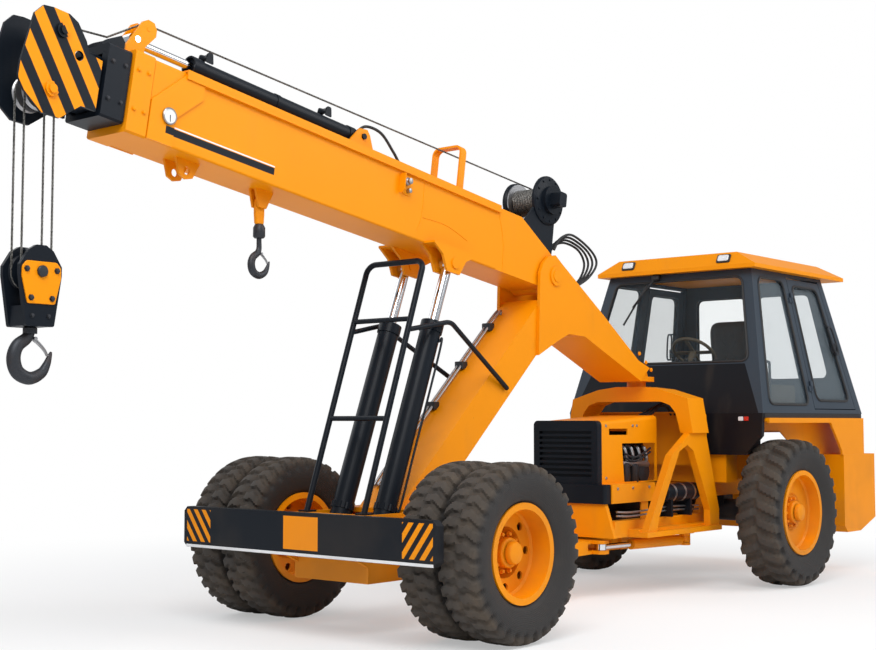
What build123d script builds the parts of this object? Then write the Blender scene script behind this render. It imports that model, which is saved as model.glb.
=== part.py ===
from build123d import *
import os
from math import cos, pi, radians, sin

# A pick-and-carry mobile crane, articulated in the middle.
# The front frame has twin wheels, a gooseneck and a four-section boom.
# The rear frame has the engine, the cab, single wheels and a counterweight.
# Millimetres. +X forward, +Y left, +Z up, ground at z = 0.
# Everything is laid out from the front axle (x = 0) and moved to the frame at export.


# Overall sizes
WHEELBASE = 4017.0
TAIL_X = -5825.0

# Running clearances
PIN_GAP = 0.4
SEAT_GAP = 0.3
ROD_GAP = 0.6
DOOR_GAP = 8.0
DOOR_TOP_GAP = 16.0

# Front twin wheels
FRONT_TYRE_R = 560.0
FRONT_TYRE_W = 300.0
FRONT_TWIN_PITCH = 325.0
FRONT_TWIN_Y = 965.0
FRONT_RIM_R = 285.0
FRONT_FLANGE_R = 312.0
FRONT_RIM_W = 216.0
FRONT_DISH = 150.0
FRONT_MOUNT_DEPTH = FRONT_TWIN_PITCH / 2 + FRONT_RIM_W / 2
FRONT_HAND_HOLES = 8

# Rear single wheels
REAR_TYRE_R = 610.0
REAR_TYRE_W = 370.0
REAR_WHEEL_Y = 1000.0
REAR_RIM_R = 325.0
REAR_FLANGE_R = 350.0
REAR_RIM_W = 290.0
REAR_DISH = 107.0
REAR_MOUNT_DEPTH = 135.0
REAR_AXLE_X = -WHEELBASE

# Shared by all wheels
RIM_WALL = 14.0
FLANGE_W = 16.0
MOUNT_R = 144.0
HAND_HOLE_R = 27.0
HUB_R = 95.0
HUB_REACH = 95.0
STUB_R = 60.0
AXLE_TUBE_R = 92.0
DIFF_R = 195.0

# Articulation between the two frames
STEER_X = -3260.0
STEER_PIN_R = 55.0
ARM_LOW_Z = 345.0
ARM_HIGH_Z = 450.0
ARM_LUG_R = 200.0
ARM_WAIST = 195.0
STEER_CYL_REAR = (-3280.0, 440.0)
STEER_CYL_FRONT = (-2240.0, 300.0)
STEER_CYL_Z = 398.0
STEER_BARREL_R = 42.0
STEER_BARREL_L = 690.0
STEER_ROD_R = 22.0
STEER_ROD_L = 660.0
STEER_EYE_R = 46.0
STEER_EYE_H = 44.0
STEER_EYE_PIN_R = 18.0
STEER_POCKET_R = 135.0

# Boom pivot and boom sections, in the boom's own level frame (u along, v up)
PIVOT_X = -1800.0
PIVOT_Z = 2480.0
BOOM_ANGLE = 8.5
PIVOT_PIN_R = 45.0
BASE_W = 340.0
BASE_LOW = -109.0
BASE_HIGH = 356.0
BASE_END = 3920.0
TAIL_R = 130.0
SLOPE_TOP_U = 440.0
SECTION_WALL = 14.0
SECTION_GAP = 12.0
SECTION_ENGAGED = 1500.0
COLLAR_T = 30.0
MID_COLLAR = (3928.0, 4066.0)
THIRD_COLLAR = (4076.0, 4232.0)
HEAD_BOX_END = 4300.0
HEAD_PLATE_Y = 150.0
HEAD_PLATE_T = 18.0
FALL_PIN = (4545.0, -30.0)
LEAD_PIN = (4528.0, 305.0)
HEAD_SHEAVE_R = 100.0
FALL_Y = 45.0
LEAD_SHEAVE_R = 88.0
SHEAVE_T = 34.0
TELE_AXIS_V = 474.0
TELE_REAR_U = 2119.0
TELE_BARREL_U = (2165.0, 3540.0)
TELE_EYE_U = 3985.0
TELE_BARREL_R = 56.0
TELE_ROD_R = 27.0
TELE_PIN_R = 20.0
ROLLER = (3903.0, 560.0)

# Winch on the boom tail
WINCH = (114.0, 575.0)
WINCH_FLANGE_R = 152.0
WINCH_DRUM_R = 92.0
WINCH_FOOT_HALF_W = 150.0

# Hook block, hooks and rope falls
FALL_DROP = 965.0
ROPE_R = 6.5
GROOVE_DEPTH = 16.0
BLOCK_SHEAVE_R = 100.0
HOOK_SIZE = 92.0
HOOK_SHANK_R = 26.0
HOOK_DROP = 450.0
AUX_PIN = (2880.0, -190.0)
AUX_PIN_R = 14.0
AUX_HOOK_SIZE = 60.0
AUX_HOOK_DROP = 375.0

# Lift cylinders
LUG_PIN = (1267.0, -204.0)
LIFT_BASE_X = 190.0
LIFT_BASE_Z = 620.0
LIFT_Y = 195.0
LIFT_BARREL_R = 73.0
LIFT_ROD_R = 36.0
LIFT_BARREL_L = 1525.0
LIFT_EYE_R = 50.0
LIFT_EYE_W = 78.0
LUG_T = 20.0
LUG_SIDE_GAP = 8.0
LUG_BOSS_R = 38.0
LIFT_SHAFT_R = 34.0
LIFT_ROD_L = 1720.0

# Gooseneck
NECK_HALF_W = 205.0
NECK_PLATE_T = 25.0
COLUMN_HALF_W = 180.0
COLUMN_TOP_X = -1640.0
BASE_FRAME_HALF_W = 330.0
BASE_PLATE_T = 30.0
DECK_Z = 790.0

# Bumper and guard
BUMPER_FACE_X = 705.0
BUMPER_T = 62.0
BUMPER_HALF_W = 1130.0
BUMPER_LOW_Z = 520.0
BUMPER_TOP_Z = 793.0
GUARD_TUBE_R = 20.0
RUNG_R = 17.0
GUARD_HALF_W = 258.0

# Chassis, hood and portal of the rear frame
RAIL_Y = 400.0
RAIL_W = 70.0
RAIL_LOW_Z = 470.0
RAIL_TOP_Z = 600.0
HOOD_FRONT_X = -2200.0
HOOD_REAR_X = -3085.0
HOOD_HALF_W = 300.0
HOOD_TOP_FRONT = 1370.0
HOOD_TOP_REAR = 1420.0
HOOD_LOW_Z = 880.0
GRILLE_T = 61.0
SHEET_T = 12.0
ARCH_FRONT_X = -3130.0
ARCH_T = 260.0
ARCH_TOP_Z = 1660.0
A_FRAME_Y = 560.0
A_FRAME_T = 60.0
TANK_X = (-3430.0, -2910.0)

# Cab
CAB_SILL_Z = 1440.0
CAB_EAVE_Z = 2690.0
CAB_SILL_HALF_W = 970.0
CAB_EAVE_HALF_W = 720.0
CAB_FRONT_SILL_X = -3660.0
CAB_FRONT_EAVE_X = -3975.0
CAB_REAR_SILL_X = -5630.0
CAB_REAR_EAVE_X = -5330.0
CAB_WALL = 45.0
CAB_FLOOR_T = 40.0
PANEL_TOP_Z = 1860.0
PANEL_LOW_Z = 1090.0
GLASS_T = 8.0
GLASS_INSET = 16.0
B_PILLAR_SILL_X = -4610.0
B_PILLAR_EAVE_X = -4560.0
DOOR_REAR_SILL_X = -5520.0
DOOR_REAR_EAVE_X = -5245.0
DOOR_LOW_Z = 1475.0
DOOR_TOP_Z = 2660.0
HINGE_HEIGHTS = (1680.0, 2470.0)
HINGE_STAND_OFF = 12.0
HINGE_R = 10.0
HINGE_L = 90.0
ROOF_LOW_Z = CAB_EAVE_Z + SEAT_GAP
ROOF_TOP_Z = 2838.0

# Counterweight and rear fenders
WEIGHT_FRONT_X = -5150.0
WEIGHT_LOW_Z = 370.0
WEIGHT_TOP_Z = 1070.0
WEIGHT_HALF_W = 1000.0
FENDER_T = 30.0

BOOM_FRAME = Pos(PIVOT_X, 0, PIVOT_Z) * Rot(0, -BOOM_ANGLE, 0)


# Small helpers

def block(x0, x1, y0, y1, z0, z1):
    """A box between two corners."""
    size = Box(abs(x1 - x0), abs(y1 - y0), abs(z1 - z0))
    return Pos((x0 + x1) / 2, (y0 + y1) / 2, (z0 + z1) / 2) * size


def side_plate(points, y0, y1, corner=0.0):
    """A plate whose outline is given in side view (x, z), between y0 and y1."""
    outline = Polyline(*[(x, 0, z) for x, z in points], close=True)
    plate = extrude(make_face(outline), amount=abs(y1 - y0), dir=(0, 1, 0))
    if corner:
        plate = fillet(plate.edges().filter_by(Axis.Y), corner)
    return Pos(0, min(y0, y1), 0) * plate


def plan_plate(points, z0, z1, corner=0.0):
    """A plate whose outline is given in plan view (x, y), between z0 and z1."""
    outline = Polyline(*[(x, y, 0) for x, y in points], close=True)
    plate = extrude(make_face(outline), amount=z1 - z0, dir=(0, 0, 1))
    if corner:
        plate = fillet(plate.edges().filter_by(Axis.Z), corner)
    return Pos(0, 0, z0) * plate


def front_plate(points, x0, x1, corner=0.0):
    """A plate whose outline is given in front view (y, z), between x0 and x1."""
    outline = Polyline(*[(0, y, z) for y, z in points], close=True)
    plate = extrude(make_face(outline), amount=abs(x1 - x0), dir=(1, 0, 0))
    if corner:
        plate = fillet(plate.edges().filter_by(Axis.X), corner)
    return Pos(min(x0, x1), 0, 0) * plate


def bar(start, end, radius):
    """A round bar between two points."""
    path = Vector(*end) - Vector(*start)
    seat = (Align.CENTER, Align.CENTER, Align.MIN)
    return Plane(start, z_dir=path) * Cylinder(radius, path.length, align=seat)


def cross_pin(x, z, radius, y0, y1):
    """A round pin along Y."""
    return bar((x, min(y0, y1), z), (x, max(y0, y1), z), radius)


def upright_pin(x, y, radius, z0, z1):
    """A round pin along Z."""
    return bar((x, y, z0), (x, y, z1), radius)


def mirrored(shape):
    """The same shape on the other side of the machine."""
    return mirror(shape, about=Plane.XZ)


def group(*shapes):
    """Separate solids of one node."""
    return Compound([solid for shape in shapes for solid in shape.solids()])


def bent_tube(points, radius, bend):
    """A round tube along straight runs joined by tangent arcs."""
    path = FilletPolyline(*points, radius=bend)
    start = Plane(path @ 0, z_dir=path % 0)
    return sweep(start * Circle(radius), path=path)


# Wheels

def tyre(radius, width, rim_radius, flange_radius, rim_width, centre_y, wheel_x):
    """A tyre casing with round shoulders, open at the rim seat."""
    half = width / 2
    bead = rim_width / 2 - FLANGE_W - SEAT_GAP
    seat = rim_radius + SEAT_GAP
    bulge = (radius + rim_radius) / 2
    shoulder = radius - 40
    heel = flange_radius + 2 * SEAT_GAP
    with BuildSketch(Plane.XY) as section:
        with BuildLine():
            Polyline((heel, -bead), (seat, -bead), (seat, bead), (heel, bead))
            ThreePointArc((heel, bead), (bulge, half), (shoulder, half - 14))
            ThreePointArc((shoulder, half - 14), (radius - 13, half - 30), (radius - 3, half - 62))
            ThreePointArc((radius - 3, half - 62), (radius, 0), (radius - 3, 62 - half))
            ThreePointArc((radius - 3, 62 - half), (radius - 13, 30 - half), (shoulder, 14 - half))
            ThreePointArc((shoulder, 14 - half), (bulge, -half), (heel, -bead))
        make_face()
    return Pos(wheel_x, centre_y, radius) * revolve(section.sketch, Axis.Y)


def rim(rim_radius, flange_radius, width, dish, mount_depth, with_hub, hand_holes):
    """A wheel rim: barrel, flanges and dished disc, with its outer side towards +Y."""
    half = width / 2
    inner = rim_radius - RIM_WALL
    disc_y = half - dish
    mount_y = half - mount_depth
    bore = STUB_R + PIN_GAP
    profile = [
        (rim_radius, half - FLANGE_W),
        (flange_radius, half - FLANGE_W),
        (flange_radius, half),
        (inner, half),
        (inner, disc_y + 14),
        (inner - 14, disc_y),
        (MOUNT_R + 16, disc_y),
        (MOUNT_R, mount_y + RIM_WALL),
        (bore, mount_y + RIM_WALL),
        (bore, mount_y),
        (MOUNT_R + 12, mount_y),
        (MOUNT_R + 28, disc_y - RIM_WALL),
        (inner, disc_y - RIM_WALL),
        (inner, -half),
        (flange_radius, -half),
        (flange_radius, FLANGE_W - half),
        (rim_radius, FLANGE_W - half),
    ]
    outline = Polyline(*[(r, y, 0) for r, y in profile], close=True)
    body = revolve(make_face(outline), Axis.Y)
    hole_r = (inner - 14 + MOUNT_R + 28) / 2
    cutter = Rot(90, 0, 0) * Cylinder(HAND_HOLE_R, 3 * RIM_WALL)
    for index in range(hand_holes):
        body -= Rot(0, 360 * index / hand_holes, 0) * Pos(hole_r, disc_y - RIM_WALL / 2, 0) * cutter
    if with_hub:
        hub_end = disc_y + HUB_REACH / 2
        hub = cross_pin(0, 0, HUB_R, mount_y + RIM_WALL, hub_end)
        hub = fillet(hub.edges().group_by(Axis.Y)[-1], 16)
        body += hub - cross_pin(0, 0, bore, mount_y, hub_end - 40)
    return body


def front_wheels_left():
    """The left twin: two tyres, and two rims bolted back to back with the hub."""
    outer_y = FRONT_TWIN_Y + FRONT_TWIN_PITCH / 2
    inner_y = FRONT_TWIN_Y - FRONT_TWIN_PITCH / 2
    sizes = (FRONT_TYRE_R, FRONT_TYRE_W, FRONT_RIM_R, FRONT_FLANGE_R, FRONT_RIM_W)
    tyres = Compound([tyre(*sizes, outer_y, 0), tyre(*sizes, inner_y, 0)])
    shape = (FRONT_RIM_R, FRONT_FLANGE_R, FRONT_RIM_W, FRONT_DISH, FRONT_MOUNT_DEPTH)
    outer = Pos(0, outer_y, FRONT_TYRE_R) * rim(*shape, True, FRONT_HAND_HOLES)
    inner = Pos(0, inner_y, FRONT_TYRE_R) * mirrored(rim(*shape, False, FRONT_HAND_HOLES))
    return tyres, Compound([outer, inner])


def rear_wheel_left():
    """The left rear tyre and its rim with the hub."""
    sizes = (REAR_TYRE_R, REAR_TYRE_W, REAR_RIM_R, REAR_FLANGE_R, REAR_RIM_W)
    casing = tyre(*sizes, REAR_WHEEL_Y, REAR_AXLE_X)
    shape = (REAR_RIM_R, REAR_FLANGE_R, REAR_RIM_W, REAR_DISH, REAR_MOUNT_DEPTH)
    wheel = Pos(REAR_AXLE_X, REAR_WHEEL_Y, REAR_TYRE_R) * rim(*shape, True, 0)
    return casing, wheel


# Boom, laid level with the pivot at the origin and then raised by BOOM_ANGLE

def section_tube(inset, start_u, end_u, guides=True, guided=True):
    """A hollow boom section, smaller than the base all round by inset.

    A section that guides the next has wear pads in its mouth.
    A section that is guided has pads on its back end's top.
    """
    half = BASE_W / 2 - inset
    low = BASE_LOW + inset
    high = BASE_HIGH - inset
    wall = SECTION_WALL
    pad = SECTION_GAP - SEAT_GAP
    outer = block(start_u, end_u, -half, half, low, high)
    outer = fillet(outer.edges().filter_by(Axis.X), 14)
    body = outer - block(start_u - 1, end_u + 1, wall - half, half - wall, low + wall, high - wall)
    middle = (low + high) / 2
    for side in (-1, 1):
        if guides:
            face = half - wall
            body += block(end_u - 130, end_u - 10, side * (face - 90), side * (face - 20), low + wall - 1, low + wall + pad)
            body += block(end_u - 130, end_u - 10, side * (face - pad), side * (face + 1), middle - 70, middle + 70)
        if guided:
            body += block(start_u + 10, start_u + 130, side * (half - 80), side * (half - 20), high - 1, high + pad)
            body += block(start_u + 10, start_u + 130, side * (half - 1), side * (half + pad), middle - 60, middle + 60)
    return body


def section_collar(inset, start_u, end_u, thickness, foot):
    """The front reinforcement around a section's mouth, foot thick below and open for the next section."""
    half = BASE_W / 2 - inset
    low = BASE_LOW + inset
    high = BASE_HIGH - inset
    ring = block(start_u, end_u, -half - thickness, half + thickness, low - foot, high + thickness)
    ring = chamfer(ring.edges().filter_by(Axis.X), 12)
    return ring - block(start_u - 1, end_u + 1, -half, half, low, high)


def section_inset(step):
    """How much smaller the step-th telescoping section is than the base."""
    return step * (SECTION_WALL + SECTION_GAP)


def boom_base():
    """The base section: tail cheeks around the pivot, lugs for the lift rods, and brackets."""
    half = BASE_W / 2
    tail = side_plate(
        [(0, BASE_LOW), (700, BASE_LOW), (700, BASE_HIGH), (SLOPE_TOP_U, BASE_HIGH), (-70, 116), (-TAIL_R, 0)],
        -half, half)
    tail += cross_pin(0, 0, TAIL_R, -half, half)
    tail -= block(120, 701, SECTION_WALL + 6 - half, half - SECTION_WALL - 6, BASE_LOW + 20, BASE_HIGH - 20)
    tail -= cross_pin(0, 0, PIVOT_PIN_R + PIN_GAP, -half - 1, half + 1)
    body = tail + section_tube(0, 700, BASE_END, guided=False)
    flare = side_plate([(3560, BASE_HIGH), (3680, BASE_HIGH), (BASE_END, 120), (BASE_END, BASE_LOW),
                        (3740, BASE_LOW), (3740, 60), (3560, 230)], half, half + 12)
    body += flare + mirrored(flare)
    for side in (-1, 1):
        lip = block(720, 3700, side * (half - 30), side * (half + 22), BASE_HIGH, BASE_HIGH + 12)
        lip += block(720, 3700, side * (half + 10), side * (half + 22), BASE_HIGH - 42, BASE_HIGH)
        lip += block(720, 3700, side * half, side * (half + 10), BASE_HIGH - 42, BASE_HIGH - 32)
        body += lip
    lug = side_plate([(1050, BASE_LOW), (1500, BASE_LOW), (1400, BASE_LOW - 60), (1340, BASE_LOW - 165),
                      (1205, BASE_LOW - 165), (1150, BASE_LOW - 60)], 0, LUG_T)
    inner_y = LIFT_Y - LIFT_EYE_W / 2 - LUG_SIDE_GAP - LUG_T
    outer_y = LIFT_Y + LIFT_EYE_W / 2 + LUG_SIDE_GAP
    for y in (inner_y, outer_y):
        body += Pos(0, y, 0) * lug
        body += mirrored(Pos(0, y, 0) * lug)
    reach = LUG_SIDE_GAP - PIN_GAP
    for y0, y1 in ((inner_y - 8, inner_y + LUG_T + reach), (outer_y - reach, outer_y + LUG_T + 10)):
        boss = cross_pin(LUG_PIN[0], LUG_PIN[1], LUG_BOSS_R, y0, y1)
        body += boss + mirrored(boss)
    shelf = block(1050, 1500, half - 20, outer_y + LUG_T, BASE_LOW, BASE_LOW + 14)
    body += shelf + mirrored(shelf)
    saddle = side_plate([(1990, BASE_HIGH), (2290, BASE_HIGH), (2160, 520), (2090, 530), (2060, 500)], 70, 86)
    body += saddle + mirrored(saddle)
    body -= cross_pin(TELE_REAR_U, TELE_AXIS_V, TELE_PIN_R, -100, 100)
    u, v = AUX_PIN
    ear = side_plate([(u - 75, BASE_LOW), (u + 75, BASE_LOW), (u + 32, v - 28), (u - 32, v - 28)], 18, 34)
    body += ear + mirrored(ear) + cross_pin(u, v, AUX_PIN_R, -34, 34)
    eye = side_plate([(3430, BASE_LOW), (3610, BASE_LOW), (3570, -205), (3520, -222), (3470, -205)], 46, 62)
    eye -= cross_pin(3520, -170, 24, 40, 70)
    return body + eye + mirrored(eye)


def boom_hoop():
    """The rope guide hoop across the boom's back."""
    points = [(1140, -128, BASE_HIGH + SEAT_GAP), (1140, -128, 700), (1140, 128, 700), (1140, 128, BASE_HIGH + SEAT_GAP)]
    path = FilletPolyline(*points, radius=50)
    strip = Plane(path @ 0, x_dir=(1, 0, 0), z_dir=path % 0) * Rectangle(60, 16)
    return sweep(strip, path=path)


def telescope_cylinder():
    """The telescope cylinder's barrel, pinned between the saddle plates."""
    barrel = bar((TELE_BARREL_U[0], 0, TELE_AXIS_V), (TELE_BARREL_U[1], 0, TELE_AXIS_V), TELE_BARREL_R)
    barrel += bar((TELE_BARREL_U[1] - 60, 0, TELE_AXIS_V), (TELE_BARREL_U[1], 0, TELE_AXIS_V), TELE_BARREL_R + 6)
    eye = cross_pin(TELE_REAR_U, TELE_AXIS_V, 48, -69, 69)
    eye += block(TELE_REAR_U, TELE_BARREL_U[0] + 5, -40, 40, TELE_AXIS_V - 40, TELE_AXIS_V + 40)
    pin = cross_pin(TELE_REAR_U, TELE_AXIS_V, TELE_PIN_R - PIN_GAP, -98, 98)
    bore = bar((TELE_BARREL_U[0] + 60, 0, TELE_AXIS_V), (TELE_BARREL_U[1] + 1, 0, TELE_AXIS_V), TELE_ROD_R + ROD_GAP)
    foot = block(3300, 3360, -40, 40, BASE_HIGH + SEAT_GAP, TELE_AXIS_V)
    return barrel + eye + pin + foot - bore


def telescope_rod():
    """The telescope rod with its eye between the collar's bracket plates."""
    rod = bar((TELE_BARREL_U[0] + 70, 0, TELE_AXIS_V), (TELE_EYE_U - 40, 0, TELE_AXIS_V), TELE_ROD_R)
    eye = cross_pin(TELE_EYE_U, TELE_AXIS_V, 42, -34, 34)
    pin = cross_pin(TELE_EYE_U, TELE_AXIS_V, TELE_PIN_R - PIN_GAP, -62, 62)
    return rod + eye + pin


def winch_frame():
    """The winch's foot and its two end housings, the near one with the motor."""
    slope = Vector(SLOPE_TOP_U + 70, 0, BASE_HIGH - 116).normalized()
    normal = Vector(-slope.Z, 0, slope.X)
    corner = Vector(SLOPE_TOP_U, 0, BASE_HIGH)
    a = corner - slope * 60 + normal * SEAT_GAP
    b = corner - slope * 470 + normal * SEAT_GAP
    w = WINCH_FOOT_HALF_W
    foot = side_plate([(a.X, a.Z), (b.X, b.Z), (b.X + normal.X * 24, b.Z + normal.Z * 24),
                       (a.X + normal.X * 24, a.Z + normal.Z * 24)], -w, w)
    cheek = side_plate([(a.X + normal.X * 23, a.Z + normal.Z * 23), (b.X + normal.X * 23, b.Z + normal.Z * 23),
                        (WINCH[0] - 110, WINCH[1] - 40), (WINCH[0] + 110, WINCH[1] - 20)], w - 20, w)
    body = foot + cheek + mirrored(cheek)
    body += cross_pin(WINCH[0], WINCH[1], 110, w - 20, w + 60)
    body += cross_pin(WINCH[0], WINCH[1], 110, -w - 30, 20 - w)
    motor = block(WINCH[0] - 45, WINCH[0] + 45, w + 60, w + 150, WINCH[1] - 60, WINCH[1] + 50)
    body += fillet(motor.edges().filter_by(Axis.Y), 20)
    body -= cross_pin(WINCH[0], WINCH[1], 30 + PIN_GAP, 10 - w, w - 10)
    return body


def winch_drum():
    """The rope drum with its two flanges, on its shaft between the housings."""
    end = WINCH_FOOT_HALF_W - 24
    drum = cross_pin(WINCH[0], WINCH[1], WINCH_DRUM_R, -end, end)
    for side in (-1, 1):
        drum += cross_pin(WINCH[0], WINCH[1], WINCH_FLANGE_R, side * (end - 12), side * end)
    return drum + cross_pin(WINCH[0], WINCH[1], 30, 12 - WINCH_FOOT_HALF_W, WINCH_FOOT_HALF_W - 12)


def boom_mid():
    """The second section with its collar and the tall bracket for rod pin and rope roller."""
    inset = section_inset(1)
    tube = section_tube(inset, MID_COLLAR[0] - SECTION_ENGAGED, MID_COLLAR[1])
    high = BASE_HIGH - inset
    collar = section_collar(inset, MID_COLLAR[0], MID_COLLAR[1], inset + 8, inset + 8)
    body = tube + collar
    plate = side_plate([(MID_COLLAR[0] + 2, high), (MID_COLLAR[1], high), (MID_COLLAR[1] - 10, 420), (3965, 590),
                        (3930, 612), (3885, 606), (3862, 570), (3862, 530), (MID_COLLAR[0] + 2, 440)], 44, 60)
    body += plate + mirrored(plate)
    body -= cross_pin(TELE_EYE_U, TELE_AXIS_V, TELE_PIN_R, -70, 70)
    body += cross_pin(ROLLER[0] + 15, ROLLER[1], 14, -62, 62)
    body += cross_pin(ROLLER[0] + 15, ROLLER[1], 38, -42, 42)
    return body


def boom_third():
    """The third section with its dark collar and a small rope guide on top."""
    inset = section_inset(2)
    tube = section_tube(inset, THIRD_COLLAR[0] - SECTION_ENGAGED, THIRD_COLLAR[1])
    collar = section_collar(inset, THIRD_COLLAR[0], THIRD_COLLAR[1], inset - 10, 18)
    body = tube + collar
    high = BASE_HIGH - inset
    top = BASE_HIGH - 10
    ear = side_plate([(THIRD_COLLAR[0] + 2, high), (THIRD_COLLAR[1] - 4, high), (THIRD_COLLAR[1] - 4, top + 20),
                      (THIRD_COLLAR[1] - 40, top + 50), (THIRD_COLLAR[0] + 30, top + 100), (THIRD_COLLAR[0] + 2, top + 70)],
                     60, 78)
    return body + ear + mirrored(ear)


def boom_head():
    """The head section: a dark box ending in two striped cheek plates with the sheave pins."""
    inset = section_inset(3)
    tube = section_tube(inset, THIRD_COLLAR[1] - SECTION_ENGAGED, HEAD_BOX_END, guides=False)
    outline = [(4255, 228), (4345, 240), (4372, 300), (4440, 382), (4500, 408), (4600, 408), (4662, 398), (4708, 340),
               (4748, 60), (4748, -30), (4700, -90), (4580, -172), (4470, -168), (4350, -60), (4255, -60)]
    cheek = side_plate(outline, HEAD_PLATE_Y - HEAD_PLATE_T, HEAD_PLATE_Y)
    cheek = fillet(cheek.edges().filter_by(Axis.Y).group_by(Axis.X)[-1], 40)
    cheek -= cross_pin(4405, 205, 28, 0, 400)
    reach = BASE_W / 2 - inset
    web = block(4240, HEAD_BOX_END, reach - 2, HEAD_PLATE_Y - HEAD_PLATE_T, -40, 216)
    body = tube + cheek + mirrored(cheek) + web + mirrored(web)
    for pin_u, pin_v in (FALL_PIN, LEAD_PIN):
        body += cross_pin(pin_u, pin_v, 24, -HEAD_PLATE_Y - 26, HEAD_PLATE_Y + 26)
        body += cross_pin(pin_u, pin_v, 40, HEAD_PLATE_Y, HEAD_PLATE_Y + 14)
        body += cross_pin(pin_u, pin_v, 40, -HEAD_PLATE_Y - 14, -HEAD_PLATE_Y)
    return body


def sheave(centre, radius, y):
    """A grooved rope sheave on a pin."""
    half = SHEAVE_T / 2
    bore = 24 + PIN_GAP
    profile = [(bore, -half), (bore, half), (radius, half), (radius - GROOVE_DEPTH, 4), (radius - GROOVE_DEPTH, -4), (radius, -half)]
    outline = Polyline(*[(r, v, 0) for r, v in profile], close=True)
    return Pos(centre[0], y, centre[1]) * revolve(make_face(outline), Axis.Y)


def head_sheaves():
    """Two sheaves on the fall pin and one lead sheave above."""
    wheels = [sheave(FALL_PIN, HEAD_SHEAVE_R, y) for y in (-FALL_Y, FALL_Y)]
    wheels.append(sheave(LEAD_PIN, LEAD_SHEAVE_R, 0))
    return Compound(wheels)


# Placed shapes in the machine frame

def on_boom(shape):
    """A shape from the boom's level frame, at its rest angle."""
    return BOOM_FRAME * shape


def boom_point(u, v):
    """A boom-frame point in side view, in the machine frame."""
    angle = radians(BOOM_ANGLE)
    return PIVOT_X + u * cos(angle) - v * sin(angle), PIVOT_Z + u * sin(angle) + v * cos(angle)


def hook_block_centre():
    """The block's sheave pin, plumb below the fall pin."""
    x, z = boom_point(*FALL_PIN)
    return x, z - FALL_DROP


def hook_block():
    """The block's two cheeks, foot and pins around its sheaves."""
    x, z = hook_block_centre()
    outline = [(x - 75, z + 112), (x - 30, z + 140), (x + 30, z + 140), (x + 75, z + 112), (x + 128, z + 30),
               (x + 128, z - 20), (x + 85, z - 290), (x - 85, z - 290), (x - 128, z - 20), (x - 128, z + 30)]
    inner_y = FALL_Y + SHEAVE_T / 2 + 4
    cheek = side_plate(outline, inner_y, inner_y + 26, 12)
    body = cheek + mirrored(cheek)
    body += block(x - 84, x + 84, -inner_y - 1, inner_y + 1, z - 288, z - 180)
    body += cross_pin(x, z, 24, -inner_y - 38, inner_y + 38)
    body += cross_pin(x, z + 122, 10, -inner_y - 12, inner_y + 12)
    return body - upright_pin(x, 0, HOOK_SHANK_R + PIN_GAP, z - 291, z - 179)


def block_sheaves():
    """The two sheaves inside the hook block."""
    centre = hook_block_centre()
    return Compound([sheave(centre, BLOCK_SHEAVE_R, y) for y in (-FALL_Y, FALL_Y)])


def hoist_falls():
    """The four straight rope falls between the head sheaves and the block."""
    x, top_z = boom_point(*FALL_PIN)
    reach = HEAD_SHEAVE_R - GROOVE_DEPTH + ROPE_R + SEAT_GAP
    falls = []
    for y in (-FALL_Y, FALL_Y):
        for side in (-1, 1):
            falls.append(upright_pin(x + side * reach, y, ROPE_R, top_z - FALL_DROP, top_z))
    return Compound(falls)


def forged_hook(x, centre_z, size, shank_r, shank_top_z):
    """A forged hook, its throat centre at centre_z, on a round shank."""
    s = size
    with BuildSketch(Plane.XZ) as section:
        with BuildLine():
            Spline((-0.30 * s, 1.15 * s), (-1.38 * s, 0.45 * s), (-1.42 * s, -0.70 * s), (0, -1.60 * s),
                   (1.30 * s, -0.80 * s), (1.46 * s, 0.30 * s))
            Line((1.46 * s, 0.30 * s), (1.22 * s, 0.42 * s))
            Spline((1.22 * s, 0.42 * s), (0.86 * s, -0.30 * s), (0.10 * s, -0.86 * s), (-0.66 * s, -0.42 * s),
                   (-0.58 * s, 0.34 * s), (0.30 * s, 1.15 * s))
            Line((0.30 * s, 1.15 * s), (-0.30 * s, 1.15 * s))
        make_face()
    bowl = extrude(section.sketch, amount=0.31 * s, both=True)
    body = Pos(x, 0, centre_z) * bowl.mirror(Plane.YZ)
    body += upright_pin(x, 0, 0.42 * s, centre_z + 1.0 * s, centre_z + 1.45 * s)
    return body + upright_pin(x, 0, shank_r, centre_z + 1.3 * s, shank_top_z)


def main_hook():
    """The hook, swivelling in the block's foot."""
    x, z = hook_block_centre()
    hook = forged_hook(x, z - HOOK_DROP, HOOK_SIZE, HOOK_SHANK_R, z - 130)
    return hook + upright_pin(x, 0, HOOK_SHANK_R + 16, z - 178, z - 140)


def aux_hook():
    """The small hook that hangs from its bracket under the boom."""
    x, z = boom_point(*AUX_PIN)
    shackle = side_plate([(x - 45, z + 30), (x + 45, z + 30), (x + 38, z - 130), (x - 38, z - 130)], -12, 12, 10)
    shackle -= cross_pin(x, z, AUX_PIN_R + PIN_GAP, -20, 20)
    body = shackle + upright_pin(x, 0, 38, z - 215, z - 128)
    return body + forged_hook(x, z - AUX_HOOK_DROP, AUX_HOOK_SIZE, 20, z - 210)


# Lift cylinders

def lift_axis():
    """Unit vector from the base pin to the rod eye, and the distance between them."""
    eye_x, eye_z = boom_point(*LUG_PIN)
    path = Vector(eye_x - LIFT_BASE_X, 0, eye_z - LIFT_BASE_Z)
    return path.normalized(), path.length


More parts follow.
